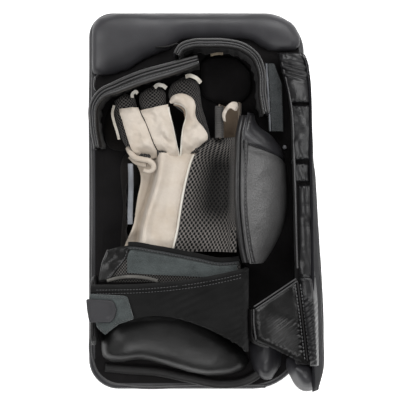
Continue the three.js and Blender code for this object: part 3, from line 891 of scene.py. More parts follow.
FINGER_GUARD = [[-97, 52], [-100.5, 76], [-100, 94], [-93, 104.5], [-78, 112], [-55, 121.5], [-26, 129.8],
                [1.7, 137.6]]
INDEX_GUARD = [[-18.7, 142.5], [-15, 148.5], [-4, 152.8], [12, 153.5], [28, 153.2], [45, 149.5], [57.5, 140],
               [63, 127], [64.4, 103], [67.5, 85]]
FINGER_RIM = [[3.2, 2.8], [3.4, 3.2], [4.4, 5.2], [5.4, 7.6], [5.6, 8.2], [5.4, 7.4], [5.0, 5.0]]
INDEX_RIM = [[3.6, 3.4], [4.4, 4.0], [4.4, 4.0], [4.2, 3.8], [4.0, 3.6], [3.8, 3.4], [3.6, 3.2]]


def section_loft(name, line, section, cap_shrink=True):
    """A solid whose section, given as (distance to the left, height) points, follows a plan line."""
    side = plan_normals(line)
    section = np.asarray(section, float)
    if section.ndim == 2:
        section = np.broadcast_to(section, (len(line), *section.shape))
    rings = np.empty((len(line), section.shape[1], 3))
    rings[..., :2] = line[:, None, :2] + side[:, None] * section[..., :1]
    rings[..., 2] = section[..., 1]
    if cap_shrink:
        rings = round_ends(rings)
    return loft(name, rings)


def round_ends(rings):
    """Adds smaller rings past both ends, so that a swept strip ends in a rounded edge."""
    def end(ring, next_ring):
        centre = ring.mean(axis=0)
        out = ring.mean(axis=0) - next_ring.mean(axis=0)
        out /= np.linalg.norm(out)
        size = 0.5 * np.linalg.norm(ring - centre, axis=1).min()
        return [centre + (ring - centre) * math.cos(t) ** 0.7 + out * size * math.sin(t) for t in (1.25, 0.9, 0.45)]

    first, last = end(rings[0], rings[1]), end(rings[-1], rings[-2])
    return np.array([*first, *rings, *last[::-1]])


def rounded_bar(half_width, low, high, roundness=1.0, steps=7):
    """A section with rounded top corners, anticlockwise seen along the line."""
    r = min(half_width, (high - low) / 2) * roundness
    points = []
    for cx, cz, start in ((-half_width + r, high - r, 90), (-half_width + r, low + r, 180),
                          (half_width - r, low + r, 270), (half_width - r, high - r, 0)):
        for t in np.linspace(0, 90, steps):
            a = math.radians(start + t)
            points.append([cx + r * math.cos(a), cz + r * math.sin(a)])
    return np.array(points)[::-1]


def build_guard(name, path, half_width, top, lining_look, count, rim):
    """One bound guard. rim gives (outer half width, inner half width) from one end of the path to the other."""
    line = route(path, count)
    wall_low, wall_high = DECK - 1, top + 1
    cover = np.array([(half_width, wall_low), (half_width + 0.6, 60), (half_width, wall_high),
                      (half_width - 2.4, wall_high), (half_width - 2.4, wall_low)])
    outer = section_loft(f"{name}_outer", line, divided(cover, 6), cap_shrink=False)
    finish_piece(outer, "board", "board", "leather", f"{name}_cover", f"{name}_foam")

    run = np.linspace(0, 1, count)
    fold = 0.9 * np.sin(run * 46) * np.sin(run * 17 + 1) + 0.5 * np.sin(run * 90)
    base = divided(np.array([(2.6 - half_width, wall_low), (2.6 - half_width, wall_high),
                                   (-half_width, wall_high), (-half_width - 0.2, wall_low)]), 6)
    section = np.repeat(base[None], count, axis=0)
    inner = section[..., 0] < 1.5 - half_width
    fade = np.clip((wall_high - section[..., 1]) / 25, 0, 1)
    section[..., 0] -= np.where(inner, (0.6 + 0.8 * fold[:, None]) * fade, 0)
    lining = section_loft(f"{name}_inner", line, section, cap_shrink=False)
    finish_piece(lining, "board", lining_look, "lining", f"{name}_lining")

    # Rim, from the outside in: a rolled outer strip, a groove, a piping, a groove and a strip that turns down
    wide = [smooth([[k / (len(rim) - 1), pair[side]] for k, pair in enumerate(rim)])(run) for side in (0, 1)]
    high = top + 6.2
    profile = [(1.0, -6.5), (1.02, -3.6), (0.97, -1.6), (0.84, -0.35), (0.66, 0.0), (0.5, -0.45), (0.4, -1.5),
               (0.34, -3.0), (0.24, -3.2), (0.2, -1.9), (0.13, -1.5), (0.05, -1.9), (0.0, -3.4), (-0.12, -3.4),
               (-0.2, -1.6), (-0.34, -0.9), (-0.6, -1.0), (-0.84, -2.0), (-0.97, -3.8), (-1.0, -6.0), (-0.85, -7.4),
               (0.8, -7.4)]
    section = np.array([[(share * wide[0 if share > 0 else 1][k], high + drop) for share, drop in profile]
                        for k in range(count)])
    band = section_loft(f"{name}_rim", line, section)
    finish_piece(band, "board", "binding", "leather", f"{name}_binding")

    side = plan_normals(line)
    at = np.column_stack([line + 0.13 * wide[0][:, None] * side, np.full(count, high - 1.9)])
    finish_piece(tube(f"{name}_rim_piping", at[1:-1], 0.85, 8), "board", "piping", "leather")
    at = np.column_stack([line - 0.4 * wide[1][:, None] * side, np.full(count, high - 0.75)])
    finish_piece(stitches(f"{name}_rim_seam", at[2:-2], lift=0.1), "board", "thread", "leather")


def build_hand_pads():
    pocket = loop_route([[7, 102], [26, 97], [48, 98], [57, 112], [56, 131], [45, 143], [24, 147], [6, 144],
                         [3, 124]], 120)

    def pocket_top(x, y, depth):
        return DECK + 8.2 * dome(depth, 9) + 1.4 * ease(4, 24, depth) + 0.7 * wander(x, y, 40, 8)

    pad = puff("index_pocket", pocket, pocket_top, flat_at(DECK - 0.6))
    finish_piece(swell(pad, cap=1.5, pinned=lambda p: p[2] < 38.6), "board", "back", "nylon", "index_pocket_pad")
    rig.padded(pad, fill=0.7)

    knuckle = loop_route([[-88, 54], [-50, 53], [-12, 54], [-9, 90], [-11, 122], [-32, 117], [-56, 110], [-80, 102],
                          [-90, 88]], 120)

    def knuckle_top(x, y, depth):
        return DECK + 6.2 * dome(depth, 8) + 0.6 * np.sin(x / 6) * ease(4, 14, depth)

    pad = puff("knuckle_padding", knuckle, knuckle_top, flat_at(DECK - 0.6))
    finish_piece(pad, "board", "lining", "lining", "knuckle_pad")
    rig.padded(pad, fill=0.6)

    hand = loop_route([[-72, -60], [-20, -62], [36, -60], [39, -10], [38, 46], [-16, 49], [-72, 47], [-74, -8]], 120)

    def hand_top(x, y, depth):
        return DECK + 8.4 * dome(depth, 10) + 0.4 * np.sin(y / 8) * ease(4, 14, depth)

    pad = puff("backhand_padding", hand, hand_top, flat_at(DECK - 0.6))
    finish_piece(pad, "board", "lining", "lining", "backhand_pad", "backhand_lining")
    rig.padded(pad, fill=0.6)


# ---------------------------------------------------------------- inner glove

PALM_LEFT = smooth([[-46, -72], [-16, -60], [5, -58.7], [29, -56], [46, -63]])
PALM_RIGHT = smooth([[-52, -24], [-31, -19.1], [-6, -15.1], [20, -10.2], [46, -2.3], [60, 6]])


def build_palm():
    v, u = unit_grid(90, 70)
    y = -50 + v * 98
    left, right = PALM_LEFT(y), PALM_RIGHT(y)
    left = left + 1.2 * np.sin(y / 8.5) * ease(-40, -10, y)
    x = left + (right - left) * u
    fold_x = np.interp(y, [-48, 30, 46], [-55.5, -38.2, -35]) + 1.5 * np.sin(y / 13)
    step = ease(-5.0, 0.5, x - fold_x)
    ridge = 3.8 * hump(x, fold_x + 2.5, 4.2)
    tuck = -2.0 * hump(x, fold_x - 5.5, 2.6)
    hem = 2.2 * hump(u, 0, 0.07) * (1 + 0.5 * np.sin(y / 6))
    # The strip left of the fold sits about 9 mm lower, where the suede's painted shade browns it.
    z = PALM_Z + 1.2 - 9 * (1 - step) + ridge + tuck + hem + 1.1 * wander(x, y, 34, 11)
    z -= 3.6 * ease(0.72, 1.0, u) * (1 - ease(0.97, 1.0, u) * 0.5)
    z -= 2.6 * hump(x - np.interp(y, [-50, 46], [-36, -19]), 0, 5.5) * ease(-45, -10, y)
    z -= 4.5 * ease(0.9, 1.0, v)
    palm = sheet("palm", np.stack([x, y, z], axis=-1), 1.5)
    finish_piece(palm, "board", "suede", "suede", "palm_leather")
    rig.sheet(palm, flat=(0.072, 0.098), held="stretched")

    hem_y = np.linspace(-48, 46, 90)
    hem = np.column_stack([PALM_RIGHT(hem_y) - 0.3, hem_y, np.full(90, PALM_Z - 0.6) + 0.4 * np.sin(hem_y / 9)])
    finish_piece(tube("palm_hem", hem, 1.1, 10, 0.7), "board", "tab_suede", "suede")
    seam = hem - [2.8, 0, -0.6]
    finish_piece(stitches("palm_seam", seam, lift=0.25), "board", "suede", "suede")

    roll = route([[-68, 53, 64], [-65, 47.5, 68.5], [-60, 43, 72], [-53, 41, 74.6], [-46.5, 39.5, 75.3],
                  [-42.3, 35.6, 75], [-42.6, 31.4, 74.2], [-47, 29.2, 73], [-52, 30.4, 71.5]], 70)
    size = 2.7 - 1.0 * ease(0.6, 1.0, np.linspace(0, 1, 70))
    finish_piece(tube("palm_curl", roll, size, 14, 0.8), "board", "suede", "suede")
    inner = route([[-66, 44, 63], [-60, 38.5, 67], [-54, 36.4, 70.2], [-49.5, 35.6, 71.5]], 40)
    finish_piece(tube("palm_curl_inner", inner, 2.2, 12, 0.8), "board", "suede", "suede")

    webbing_y = np.linspace(-23, 37, 50)
    lean = 0.4 * np.sin(webbing_y / 11)
    grid = np.stack([np.column_stack([np.full(50, x) + lean, webbing_y, z + 0.3 * np.sin(webbing_y / 3)])
                     for x, z in ((-68.2, 69.0), (-67.6, 70.6), (-65.2, 71.2), (-63.0, 70.7), (-62.6, 66),
                                  (-62.8, 52))])
    webbing = sheet("side_webbing", grid, 1.6)
    finish_piece(webbing, "board", "webbing", "loop_fabric", "pinkie_side_webbing")
    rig.sheet(webbing, flat=(0.025, 0.060), held="stretched")

    lining_y = np.linspace(-37, 17, 60)
    ruffle = 0.6 * np.sin(lining_y / 2.1)
    grid = np.stack([np.column_stack([np.full(60, -70.8) + ruffle * k, lining_y, np.full(60, z)])
                     for z, k in ((46, 0.2), (54, 0.7), (62, 1.0), (68.5, 1.3))])
    lining = sheet("side_lining", grid, 2.2)
    finish_piece(lining, "board", "lining", "lining", "pinkie_side_lining")
    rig.sheet(lining, flat=(0.023, 0.054), held="stretched")


def build_gusset():
    v, u = unit_grid(110, 80)
    y = -50 + v * 113
    left = PALM_RIGHT(y) + 0.6 + 6 * ease(40, 62, y)
    right = 38.5
    x = left + (right - left) * u
    rim = 71.5 + 21 * u**2.2
    # The valley floor lies low enough that the mesh's painted shade darkens it.
    valley = smooth([[0, 71.5], [0.15, 69], [0.36, 61], [0.56, 51.6], [0.78, 51], [0.9, 58], [0.97, 80],
                     [1, 92.5]])(u)
    deep = ease(-34, -2, y) * (1 - 0.8 * ease(30, 56, y))
    shallow = rim - 7 * np.sin(math.pi * u) ** 1.5
    z = shallow + (valley - shallow) * deep
    z -= 9 * ease(54, 63, y) * (1 - 0.4 * u)
    z += 0.6 * wander(x, y, 30, 21) * np.sin(math.pi * u)
    z += 3.0 * hump(x, 33.5, 1.6) * (1 - ease(-30, -15, y))
    grid = np.stack([x, y, z], axis=-1)
    across = np.cumsum(np.linalg.norm(np.diff(grid, axis=1, prepend=grid[:, :1]), axis=2), axis=1)
    gusset = sheet("thumb_mesh", grid, 1.8, uv=np.stack([across, y], axis=-1))
    finish_piece(gusset, "board", "mesh", "spacer_mesh", "thumb_gusset")
    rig.sheet(gusset, flat=(0.085, 0.112), held="stretched")


FINGERS = (
    {"name": "pinkie", "base": (-51.5, 46.0), "lean": 18, "seed": 41, "flat": (0.026, 0.055),
     "panel_left": [[-57, 40], [-60.5, 45], [-64.7, 52.5], [-67.6, 60.4], [-70.6, 70.3], [-73.5, 80.2],
                    [-76, 87.5], [-76.6, 91.4]],
     "panel_right": [[-37, 43], [-38.8, 49], [-42.6, 57], [-46.6, 67.6], [-50.8, 78.2], [-55, 86.5],
                     [-57.4, 92.8]],
     "mesh_left": [[-58, 38], [-66, 47.5], [-73, 59], [-77.3, 70], [-80.5, 81], [-82.5, 92], [-81, 101],
                   [-75, 107]],
     "mesh_right": [[-44, 44], [-47, 55], [-51, 67], [-55, 79], [-58.5, 90], [-60, 98], [-62, 104], [-68, 108]],
     "tab": [[-63.5, 102, 68], [-62.8, 106.2, 73], [-60.4, 108, 73.5], [-58, 106.2, 69]], "tab_width": 3.2},
    {"name": "ring", "base": (-27.0, 47.6), "lean": 14, "seed": 43, "flat": (0.026, 0.055),
     "panel_left": [[-36.4, 43], [-38, 49], [-41.8, 57], [-45.8, 67.6], [-50, 78.2], [-54, 86.5],
                    [-55.4, 90]],
     "panel_right": [[-15.6, 37], [-16.6, 42], [-19.8, 55.5], [-22.8, 70.3], [-25.6, 82], [-27.4, 90],
                     [-28, 96]],
     "mesh_left": [[-40, 44], [-44, 58], [-48.5, 72], [-53, 86], [-56.5, 96], [-57, 103], [-54, 110],
                   [-47, 114]],
     "mesh_right": [[-22, 44], [-24.5, 58], [-27.5, 72], [-29.5, 86], [-30.2, 97], [-30.5, 106], [-33, 112],
                    [-40, 115.5]],
     "tab": [[-41.5, 112, 71], [-37.5, 114.6, 75.5], [-33.5, 114, 75.5], [-29.5, 111.5, 71]], "tab_width": 3.8},
    {"name": "middle", "base": (-2.0, 50.0), "lean": 8.5, "seed": 46, "flat": (0.019, 0.085),
     "panel_left": [[-15.5, 38], [-15.6, 42.6], [-14.8, 55], [-13.9, 65], [-12.4, 74], [-10.4, 81], [-9.6, 87],
                    [-10.4, 91.2], [-14, 94.6], [-19.4, 96.6], [-25.4, 96]],
     "panel_right": [[-4, 41], [0.5, 50], [5.5, 56], [11.2, 61], [11.4, 64], [7.2, 72.5], [1.8, 79], [-0.6, 85],
                     [-0.6, 94], [-3.4, 101.3], [-10, 105.6], [-18, 106.4], [-24.2, 104], [-27.2, 99]],
     "mesh_left": [[-9, 46], [-9.5, 60], [-9.5, 74], [-12, 86], [-22, 95], [-27, 102], [-27.5, 110], [-23, 119],
                   [-16, 123.5]],
     "mesh_right": [[13, 52], [14, 60], [12.4, 70], [9.2, 82], [5.6, 94], [4.2, 104], [3.2, 112], [0, 119.5],
                    [-8, 124]],
     "tab": [[-11, 122.6, 74], [-6, 123.4, 79], [0.5, 120.6, 79.5], [4.5, 116.5, 75.5]], "tab_width": 3.8},
)


def build_finger(finger):
    name, body = finger["name"], f"{finger['name']}_finger"
    lean = math.radians(finger["lean"])
    base = np.array(finger["base"])
    along = np.array([-math.sin(lean), math.cos(lean)])
    bend = tuple((*(base + along * s), 60) for s in (0, 14))

    def level(u, v, x, y):
        crown = 3.0 * np.sin(math.pi * np.clip(u, 0.02, 0.98)) ** 0.5
        # The root of the panel dips low enough that the suede's painted shade browns it there.
        rise = -8.0 * ease(0.3, 0.02, v) + 2.6 * np.sin(math.pi * v) - 1.6 * ease(0.9, 1, v)
        crease = 2.4 * wander(x, y, 24, finger["seed"]) + 0.9 * wander(x, y, 11, finger["seed"] + 9)
        return 69.8 + crown + rise + crease * (0.4 + 0.6 * np.sin(math.pi * u))

    front = panel(f"{name}_front", finger["panel_left"], finger["panel_right"], 70, 40, level, 1.5)
    finish_piece(front, body, "suede", "suede", f"{name}_stall", blend=bend)
    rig.sheet(front, flat=finger["flat"], held="stretched")

    back = sleeve(f"{name}_back", finger["mesh_left"], finger["mesh_right"], 59.5, 8.6, finger["seed"])
    finish_piece(back, body, "fine_mesh", "spacer_mesh", f"{name}_tip", blend=bend)

    loop = ribbon(f"{name}_loop", finger["tab"], finger["tab_width"])
    finish_piece(loop, body, "tab_suede", "suede", f"{name}_tip_loop")

    hems = {"ring": ("panel_right", 69.6), "middle": ("panel_left", 70.2)}
    if name in hems:
        side, rest = hems[name]
        edge = route(finger[side], 80)[6:-4]
        line = np.column_stack([edge, rest + 1.2 * np.sin(edge[:, 1] / 9) - 3.5 * ease(52, 40, edge[:, 1])])
        finish_piece(tube(f"{name}_hem", line, 1.0, 8), body, "tab_suede", "suede", blend=bend)
    if name == "pinkie":
        edge = ribbon("pinkie_edge", [[-81.6, 95, 66.5], [-83.2, 88, 67.5], [-81.8, 79, 67.8], [-79, 70, 67.2],
                                      [-76.8, 61, 65]], 2.6)
        finish_piece(edge, body, "tab_suede", "suede", blend=bend)
    if name == "middle":
        # A flat sheet of shaded suede under the middle finger's lip: painted shade where the lip's shadow falls.
        shade = panel("middle_inside", [[-23, 95], [-18, 93.4], [-13.6, 90], [-11.4, 82]],
                      [[-22, 99], [-14, 98.6], [-8, 93], [-7.4, 82]], 30, 12, lambda u, v, x, y: 67.5 + 0 * x, 1.2)
        finish_piece(shade, body, "shaded_suede", "suede")


def build_index_stall():
    base_x, base_y = 33.5, 63
    bend = ((base_x, base_y, 60), (base_x, base_y + 8, 60))
    rows, columns = 44, 60
    s, a = np.meshgrid(np.linspace(-1, 34, rows), np.linspace(-205, 40, columns), indexing="ij")
    angle = np.radians(a)
    c, d = np.cos(angle), np.sin(angle)
    x = base_x + np.sign(c) * np.abs(c) ** 0.8 * (9.7 + 0.5 * ease(20, 34, s))
    z = 59 + np.sign(d) * np.abs(d) ** 0.8 * 8.6 + 0.6 * wander(s, a / 4, 15, 31)
    y = base_y + s - 3.0 * np.maximum(0, -d) + 1.2 * np.sin(angle * 2) * ease(20, 34, s)
    # The whole stall takes the darker shaded suede: painted shade inside the open stall.
    stall = sheet("index_loop", np.stack([x, y, z], axis=-1), 1.4)
    finish_piece(stall, "index_finger", "shaded_suede", "suede", "index_stall", blend=bend)
    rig.sheet(stall, flat=(0.050, 0.035), held="stretched")

    outer = [[26.4, 79], [25.2, 86], [28.8, 93], [33.4, 97.2], [37.6, 98.4], [41, 96.6], [42, 92.6]]
    inner = [[29.4, 78.5], [29.2, 84], [31.2, 89.2], [33.8, 91.2], [36, 89.8], [38, 88.6], [40, 88.8]]

    def lip_level(u, v, x, y):
        roll = 3.6 * np.sin(math.pi * (0.3 + 0.62 * u)) - 2.0 * ease(0.85, 1, v)
        return 70.2 + roll + 3.4 * ease(0.2, 0.7, v) + 0.8 * wander(x, y, 9, 48)

    lip = panel("index_lip", inner, outer, 60, 22, lip_level, 1.5)
    finish_piece(lip, "index_finger", "suede", "suede")

    run = np.linspace(0, 32, 200)
    ripple = 0.6 * np.abs(np.sin(run * math.pi / 2.3))
    grid = np.stack([np.column_stack([x + 0 * run, base_y - 0.5 + run, z + ripple * k]) for x, z, k in (
        (18.2, 52, 0.3), (18.3, 60, 0.6), (18.9, 66, 1.0), (20.6, 68, 1.0), (23.4, 68.6, 1.0), (26.2, 67.4, 1.0),
        (27.4, 64, 0.5))])
    rib = sheet("index_elastic", grid, 1.4)
    finish_piece(rib, "index_finger", "webbing_dark", "spacer_mesh", "index_rib", blend=bend)
    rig.sheet(rib, flat=(0.022, 0.032), held="stretched")


# ---------------------------------------------------------------- thumb guard

CREST_X = smooth([[-60, 52], [-50, 49.5], [-30, 46.5], [-10, 44.5], [20, 44], [45, 44.5], [66, 45.5], [78, 48],
                  [86, 50]])
CREST_Z = smooth([[-60, 99], [-50, 102], [-30, 104], [20, 105], [45, 103], [66, 99], [78, 94], [86, 88]])
BASE_X = smooth([[-60, 68], [-50, 75], [-30, 85], [-10, 90], [22, 91], [38, 89.5], [58, 81], [66, 74], [72, 65],
                 [78, 59.5], [86, 57.5]])
BASE_Z = smooth([[-60, 60], [-50, 52], [-30, 48], [38, 48], [58, 51], [66, 54], [78, 62], [86, 70]])


def thumb_surface(depth, y, u):
    angle = u * math.pi / 2
    across = BASE_X(y) - CREST_X(y) - depth
    tall = CREST_Z(y) - BASE_Z(y) - depth
    return np.stack([CREST_X(y) + across * np.sin(angle), y, BASE_Z(y) + tall * np.cos(angle)], axis=-1)


def build_thumb_guard():
    v, u = unit_grid(110, 60)
    crease = 56 - 19 * u
    main = thumb_surface(0, -61 + v * (crease + 61), u)
    dent = 2.4 * hump(v, 0.975, 0.03) + 1.0 * hump(u, 0.93, 0.05)
    main[..., 2] -= dent + 0.4 * wander(main[..., 0], main[..., 1], 26, 51)
    main[..., 0] += 0.9 * hump(u, 0.75, 0.2) * np.sin(math.pi * v)
    shell = sheet("thumb_outer", main, 3.0)
    finish_piece(shell, "thumb_guard", "pebbled", "leather", "thumb_guard_shell")
    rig.padded(shell, fill=0.7)

    v, u = unit_grid(50, 60)
    start = 57 - 19 * u
    cap = thumb_surface(0, start + v * (86.5 - start), u)
    cap[..., 2] += 1.4 * hump(v, 0.28, 0.2) - 1.6 * hump(v, 0, 0.06)
    flap = sheet("thumb_tip_flap", cap, 3.0)
    finish_piece(flap, "thumb_guard", "cap", "leather", "thumb_guard_tip")
    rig.padded(flap, fill=0.7)

    v, u = unit_grid(70, 40)
    inner = thumb_surface(9.2, -54 + v * 120, u)
    lining = sheet("thumb_inner", inner, 1.4)
    finish_piece(lining, "thumb_guard", "lining", "lining", "thumb_guard_lining", "thumb_guard_foam")
    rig.padded(lining, fill=0.4)

    # Crest, from the inside out: a rolled leather edge, a groove, a piping, a groove and a flat seam strip
    y = np.linspace(-60, 84, 150)
    x, z = CREST_X(y), CREST_Z(y)
    section = [np.column_stack([x + shift, y, z + lift]) for shift, lift in (
        (-6.6, -10), (-7.2, -5), (-7.0, -2.4), (-6.2, -0.6), (-5.0, 0.4), (-3.8, 0.6), (-2.7, 0.0), (-2.0, -1.2),
        (-1.7, -2.6), (-1.2, -2.6), (-0.9, -1.4), (-0.4, -0.8), (0.2, -1.3), (0.5, -2.6), (1.0, -2.6), (1.4, -0.8),
        (2.2, 0.2), (3.4, 0.4), (4.6, 0.2), (5.6, -0.8), (5.4, -3.4), (2.0, -4.6), (-2.4, -7.0), (-5.0, -10.4))]
    band = loft("thumb_binding", round_ends(np.stack(section, axis=1)[:, ::-1]))
    finish_piece(band, "thumb_guard", "dark_binding", "leather", "thumb_guard_binding")
    piping = np.column_stack([x - 0.4, y, z - 0.9])[3:-3]
    finish_piece(tube("thumb_piping", piping, 0.75, 8), "thumb_guard", "piping", "leather")
    seam = np.column_stack([x + 3.4, y, z + 0.45])[4:-6]
    finish_piece(stitches("thumb_stitches", seam, pitch=4.0, length=2.8), "thumb_guard", "thread", "leather")


# ---------------------------------------------------------------- side board

SIDE_INNER_X = smooth([[-192, 98], [-160, 98], [-72, 98.5], [-40, 97.5], [40, 95.5], [95, 93], [108, 91],
                       [130, 86.5], [148, 83]])
SIDE_CREST_X = smooth([[-192, 119], [-160, 116], [-72, 115], [40, 113.5], [128, 112.2], [140, 110.6], [149, 106.5]])
SIDE_BASE_X = smooth([[-192, 126], [-180, 130], [-140, 131.5], [-72, 129], [-30, 126], [20, 121], [60, 117.5],
                      [148, 112.6]])
SIDE_CREST_Z = smooth([[-192, 58], [-175, 74], [-160, 86], [-72, 88], [20, 86], [80, 78], [120, 66], [148, 52]])
GROOVE = 0.39  # the outer panel's piped groove, as a share of the way from base to crest
ROLLS = (("top", 96, 149), ("upper", 39, 95.4), ("tuft", 17.5, 38.4), ("lower", -74, 16.9), ("quilted", -163, -74.6))


def build_side_board():
    y = np.linspace(-193, 149, 170)
    base_x, crest_x, crest_z = SIDE_BASE_X(y), SIDE_CREST_X(y), SIDE_CREST_Z(y)
    rounded = 0.42 + 0.58 * dome(y + 193.6, 15)
    crest_z = 3 + (crest_z - 3) * rounded * (0.7 + 0.3 * dome(149.6 - y, 7))
    foot = 3 + 9 * (1 - dome(y + 193.6, 9))
    shares = [*np.linspace(0, 0.34, 7), 0.365, GROOVE, 0.415, *np.linspace(0.44, 1, 12)]
    groove = [-1.1 * hump(share, GROOVE, 0.022) for share in shares]
    sag = 0.9 * wander(y, 0 * y, 70, 15)
    outer = [np.column_stack([base_x + (crest_x - base_x) * share + 1.8 * math.sin(math.pi * share) + dip
                              + sag * math.sin(math.pi * share), y, foot + share * (crest_z - foot)])
             for share, dip in zip(shares, groove)]
    rounding = [np.column_stack([crest_x - 1.0, y, crest_z + 1.3]), np.column_stack([crest_x - 2.6, y, crest_z + 1.2])]
    back = [np.column_stack([base_x + (crest_x - base_x) * share - 2.4, y, foot + share * (crest_z - foot)])
            for share in np.linspace(1, 0, 12)]
    cover = loft("side_outer", np.stack([*outer, *rounding, *back], axis=1)[:, ::-1])
    finish_piece(cover, "board", "outer", "leather", "side_board_cover")

    line = np.column_stack([base_x + (crest_x - base_x) * GROOVE + 1.5 + sag * math.sin(math.pi * GROOVE), y,
                            foot + GROOVE * (crest_z - foot)])[8:-5]
    finish_piece(tube("side_outer_piping", line, 0.9, 8), "board", "piping", "leather")

    inner_y = y[y > -162]
    ix, cz, cx = SIDE_INNER_X(inner_y), SIDE_CREST_Z(inner_y), SIDE_CREST_X(inner_y)
    pad = [(ix + 0.6, 0.0), (ix + 0.1, 0.5), (ix + 0.4, 0.93), (ix + 2.0, 0.985), (cx - 4, 1.03), (cx - 1.2, 1.0),
           (cx - 0.8, 0.4), (cx - 0.8, 0.0)]
    rings = np.stack([np.column_stack([x, inner_y, DECK + share * (cz - 4 - DECK)]) for x, share in pad], axis=1)
    core = loft("side_inner", rings)
    finish_piece(core, "board", "back", "leather", "side_board_foam")
    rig.padded(core, fill=0.9)

    for name, low, high in ROLLS:
        build_side_roll(name, low, high)

    at = np.linspace(-66, 146, 180)
    for label, x in (("inner", SIDE_INNER_X(at) + 0.6), ("outer", SIDE_CREST_X(at) - 1.6)):
        line = np.column_stack([x, at, SIDE_CREST_Z(at) + 0.2])
        finish_piece(tube(f"side_piping_{label}", line, 1.0, 8), "board", "piping", "leather")

    build_side_end()


def build_side_roll(name, low, high):
    rows, columns = max(16, int((high - low) / 1.0)), 36
    v, u = unit_grid(rows, columns)
    y = low + v * (high - low)
    left = SIDE_INNER_X(y) - 0.8 - 1.6 * ease(95, 110, y)
    right = SIDE_CREST_X(y) - 1.2
    if name in ("lower", "quilted"):
        left = np.maximum(left, seam_x(y) + 1.6)
        right = right + 6.2 * ease(-30, -105, y)
    x = left + (right - left) * u
    ends = np.minimum(v, 1 - v) * (high - low)
    if name in ("lower", "quilted"):
        ends = np.where((y > -100) & (y < -50), 9, ends)
    puffed = dome(ends, 3.5) * np.sin(math.pi * np.clip(u, 0.001, 0.999)) ** 0.5
    gather = 0.6 * np.sin(u * 22 + 3 * wander(x, y, 30, 66)) * np.exp(-ends / 4)
    z = SIDE_CREST_Z(y) - 2.4 + 5.8 * puffed + gather + (0.2 if name == "quilted" else 0.8) * wander(x, y, 24, 61)
    if name == "top":
        z += 1.4 * np.cos((y + 0.3 * x) / 1.15) * hump(y, 131, 9)
    if name == "tuft":
        z -= 2.6 * ease(0.2, 0.9, u * 0.6 + v * 0.4)
    if name in ("lower", "quilted"):
        z -= 9 * ease(0.62, 1.0, u) * ease(-30, -105, y)
    if name == "quilted":
        diagonal = (x * 0.62 - y * 0.78) / 4.4
        z += 2.4 * np.abs(np.sin(diagonal * math.pi)) * ease(-92, -100, y) * ease(-163, -154, y)
        z += 2.5 * ease(-80, -130, y)
    roll = sheet(f"side_roll_{name}_pad", np.stack([x, y, z], axis=-1), 3.4)
    nodes = [] if name == "quilted" else [f"side_roll_{name}"]
    finish_piece(roll, "board", "side", "leather", *nodes)
    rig.padded(roll, fill=0.8)


def build_side_end():
    outline = loop_route([[90, -158], [104, -156], [117, -158], [122, -168], [123, -181], [118, -190], [108, -192],
                          [100, -186.5], [94, -176], [89.5, -166]], 100)

    def top(x, y, depth):
        return 50 + (20 * dome(depth, 12) + 4 * ease(0, 14, depth)) * ease(-204, -172, y) ** 0.5

    lobe = puff("side_lobe", outline, top, flat_at(38.8), 2.4)
    finish_piece(swell(lobe, voxel=3.5, cap=1.5), "board", "roll", "leather", "side_board_end")
    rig.padded(lobe, fill=0.8)


def build_wrap_patch():
    corners = [[54.5, -104.5], [69, -94.3], [84, -84], [97.6, -74.6], [101, -95], [103.6, -115], [106.2, -138],
               [109, -159.5], [97, -155], [83, -148], [70, -141.5], [57.3, -137], [55.2, -121]]
    outline = divided(corners, 9)
    height = smooth([[50, 85], [60, 88], [75, 90.5], [97, 92.6], [110, 92]])

    def top(x, y, depth):
        along = (x * 0.62 - y * 0.78) / 4.4
        quilted = ease(-106, -122, y + 0.35 * (x - 80))
        quilt = 1.7 * (np.abs(np.sin(along * math.pi)) - 0.6) * quilted * ease(60, 92, x)
        border = 0.9 * hump(depth, 1.3, 0.9) - 0.9 * hump(depth, 2.9, 0.7)
        return height(x) + 1.4 * dome(depth, 2.2) + quilt * ease(2.5, 5, depth) + border + 0.3 * wander(x, y, 30, 72)

    patch = puff("diamond_patch", outline, top, lambda x, y, d: height(x) - 0.6, 1.0)
    finish_piece(patch, "board", "patch", "gloss_leather", "wrap_patch")
    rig.padded(patch, fill=0.3)

    y = np.linspace(-156, -79, 70)
    for label, shift in (("left", -2.6), ("right", 2.4)):
        line = np.column_stack([seam_x(y) + shift, y, height(seam_x(y) + shift) + 1.5])
        finish_piece(stitches(f"patch_stitches_{label}", line, 3.4, 2.6, 0.62, 0.5), "board", "thread", "leather")
    line = np.column_stack([seam_x(y), y, height(seam_x(y)) + 0.9])
    finish_piece(tube("patch_seam", line, 1.0, 8, 0.7), "board", "wrinkled", "leather")
    edge = np.array([[56.4, -103.6], [97.2, -75.8]])
    for label, shift in (("outer", 0.2), ("inner", -2.6)):
        line = np.linspace(edge[0], edge[1], 60) + np.array([-0.56, 0.83]) * shift
        line = np.column_stack([line, height(line[:, 0]) + 1.1])
        finish_piece(tube(f"patch_piping_{label}", line, 0.75, 8), "board", "piping", "leather")
    line = route([[55.4, -106], [55.6, -120], [57.6, -136]], 40)
    line = np.column_stack([line + [0.8, 0], height(line[:, 0]) + 0.9])
    finish_piece(tube("patch_edge", line, 0.9, 8), "board", "piping", "leather")


def seam_x(y):
    return np.interp(y, [-160, -115, -76], [109.0, 103.6, 98.2])


# ---------------------------------------------------------------- wrist

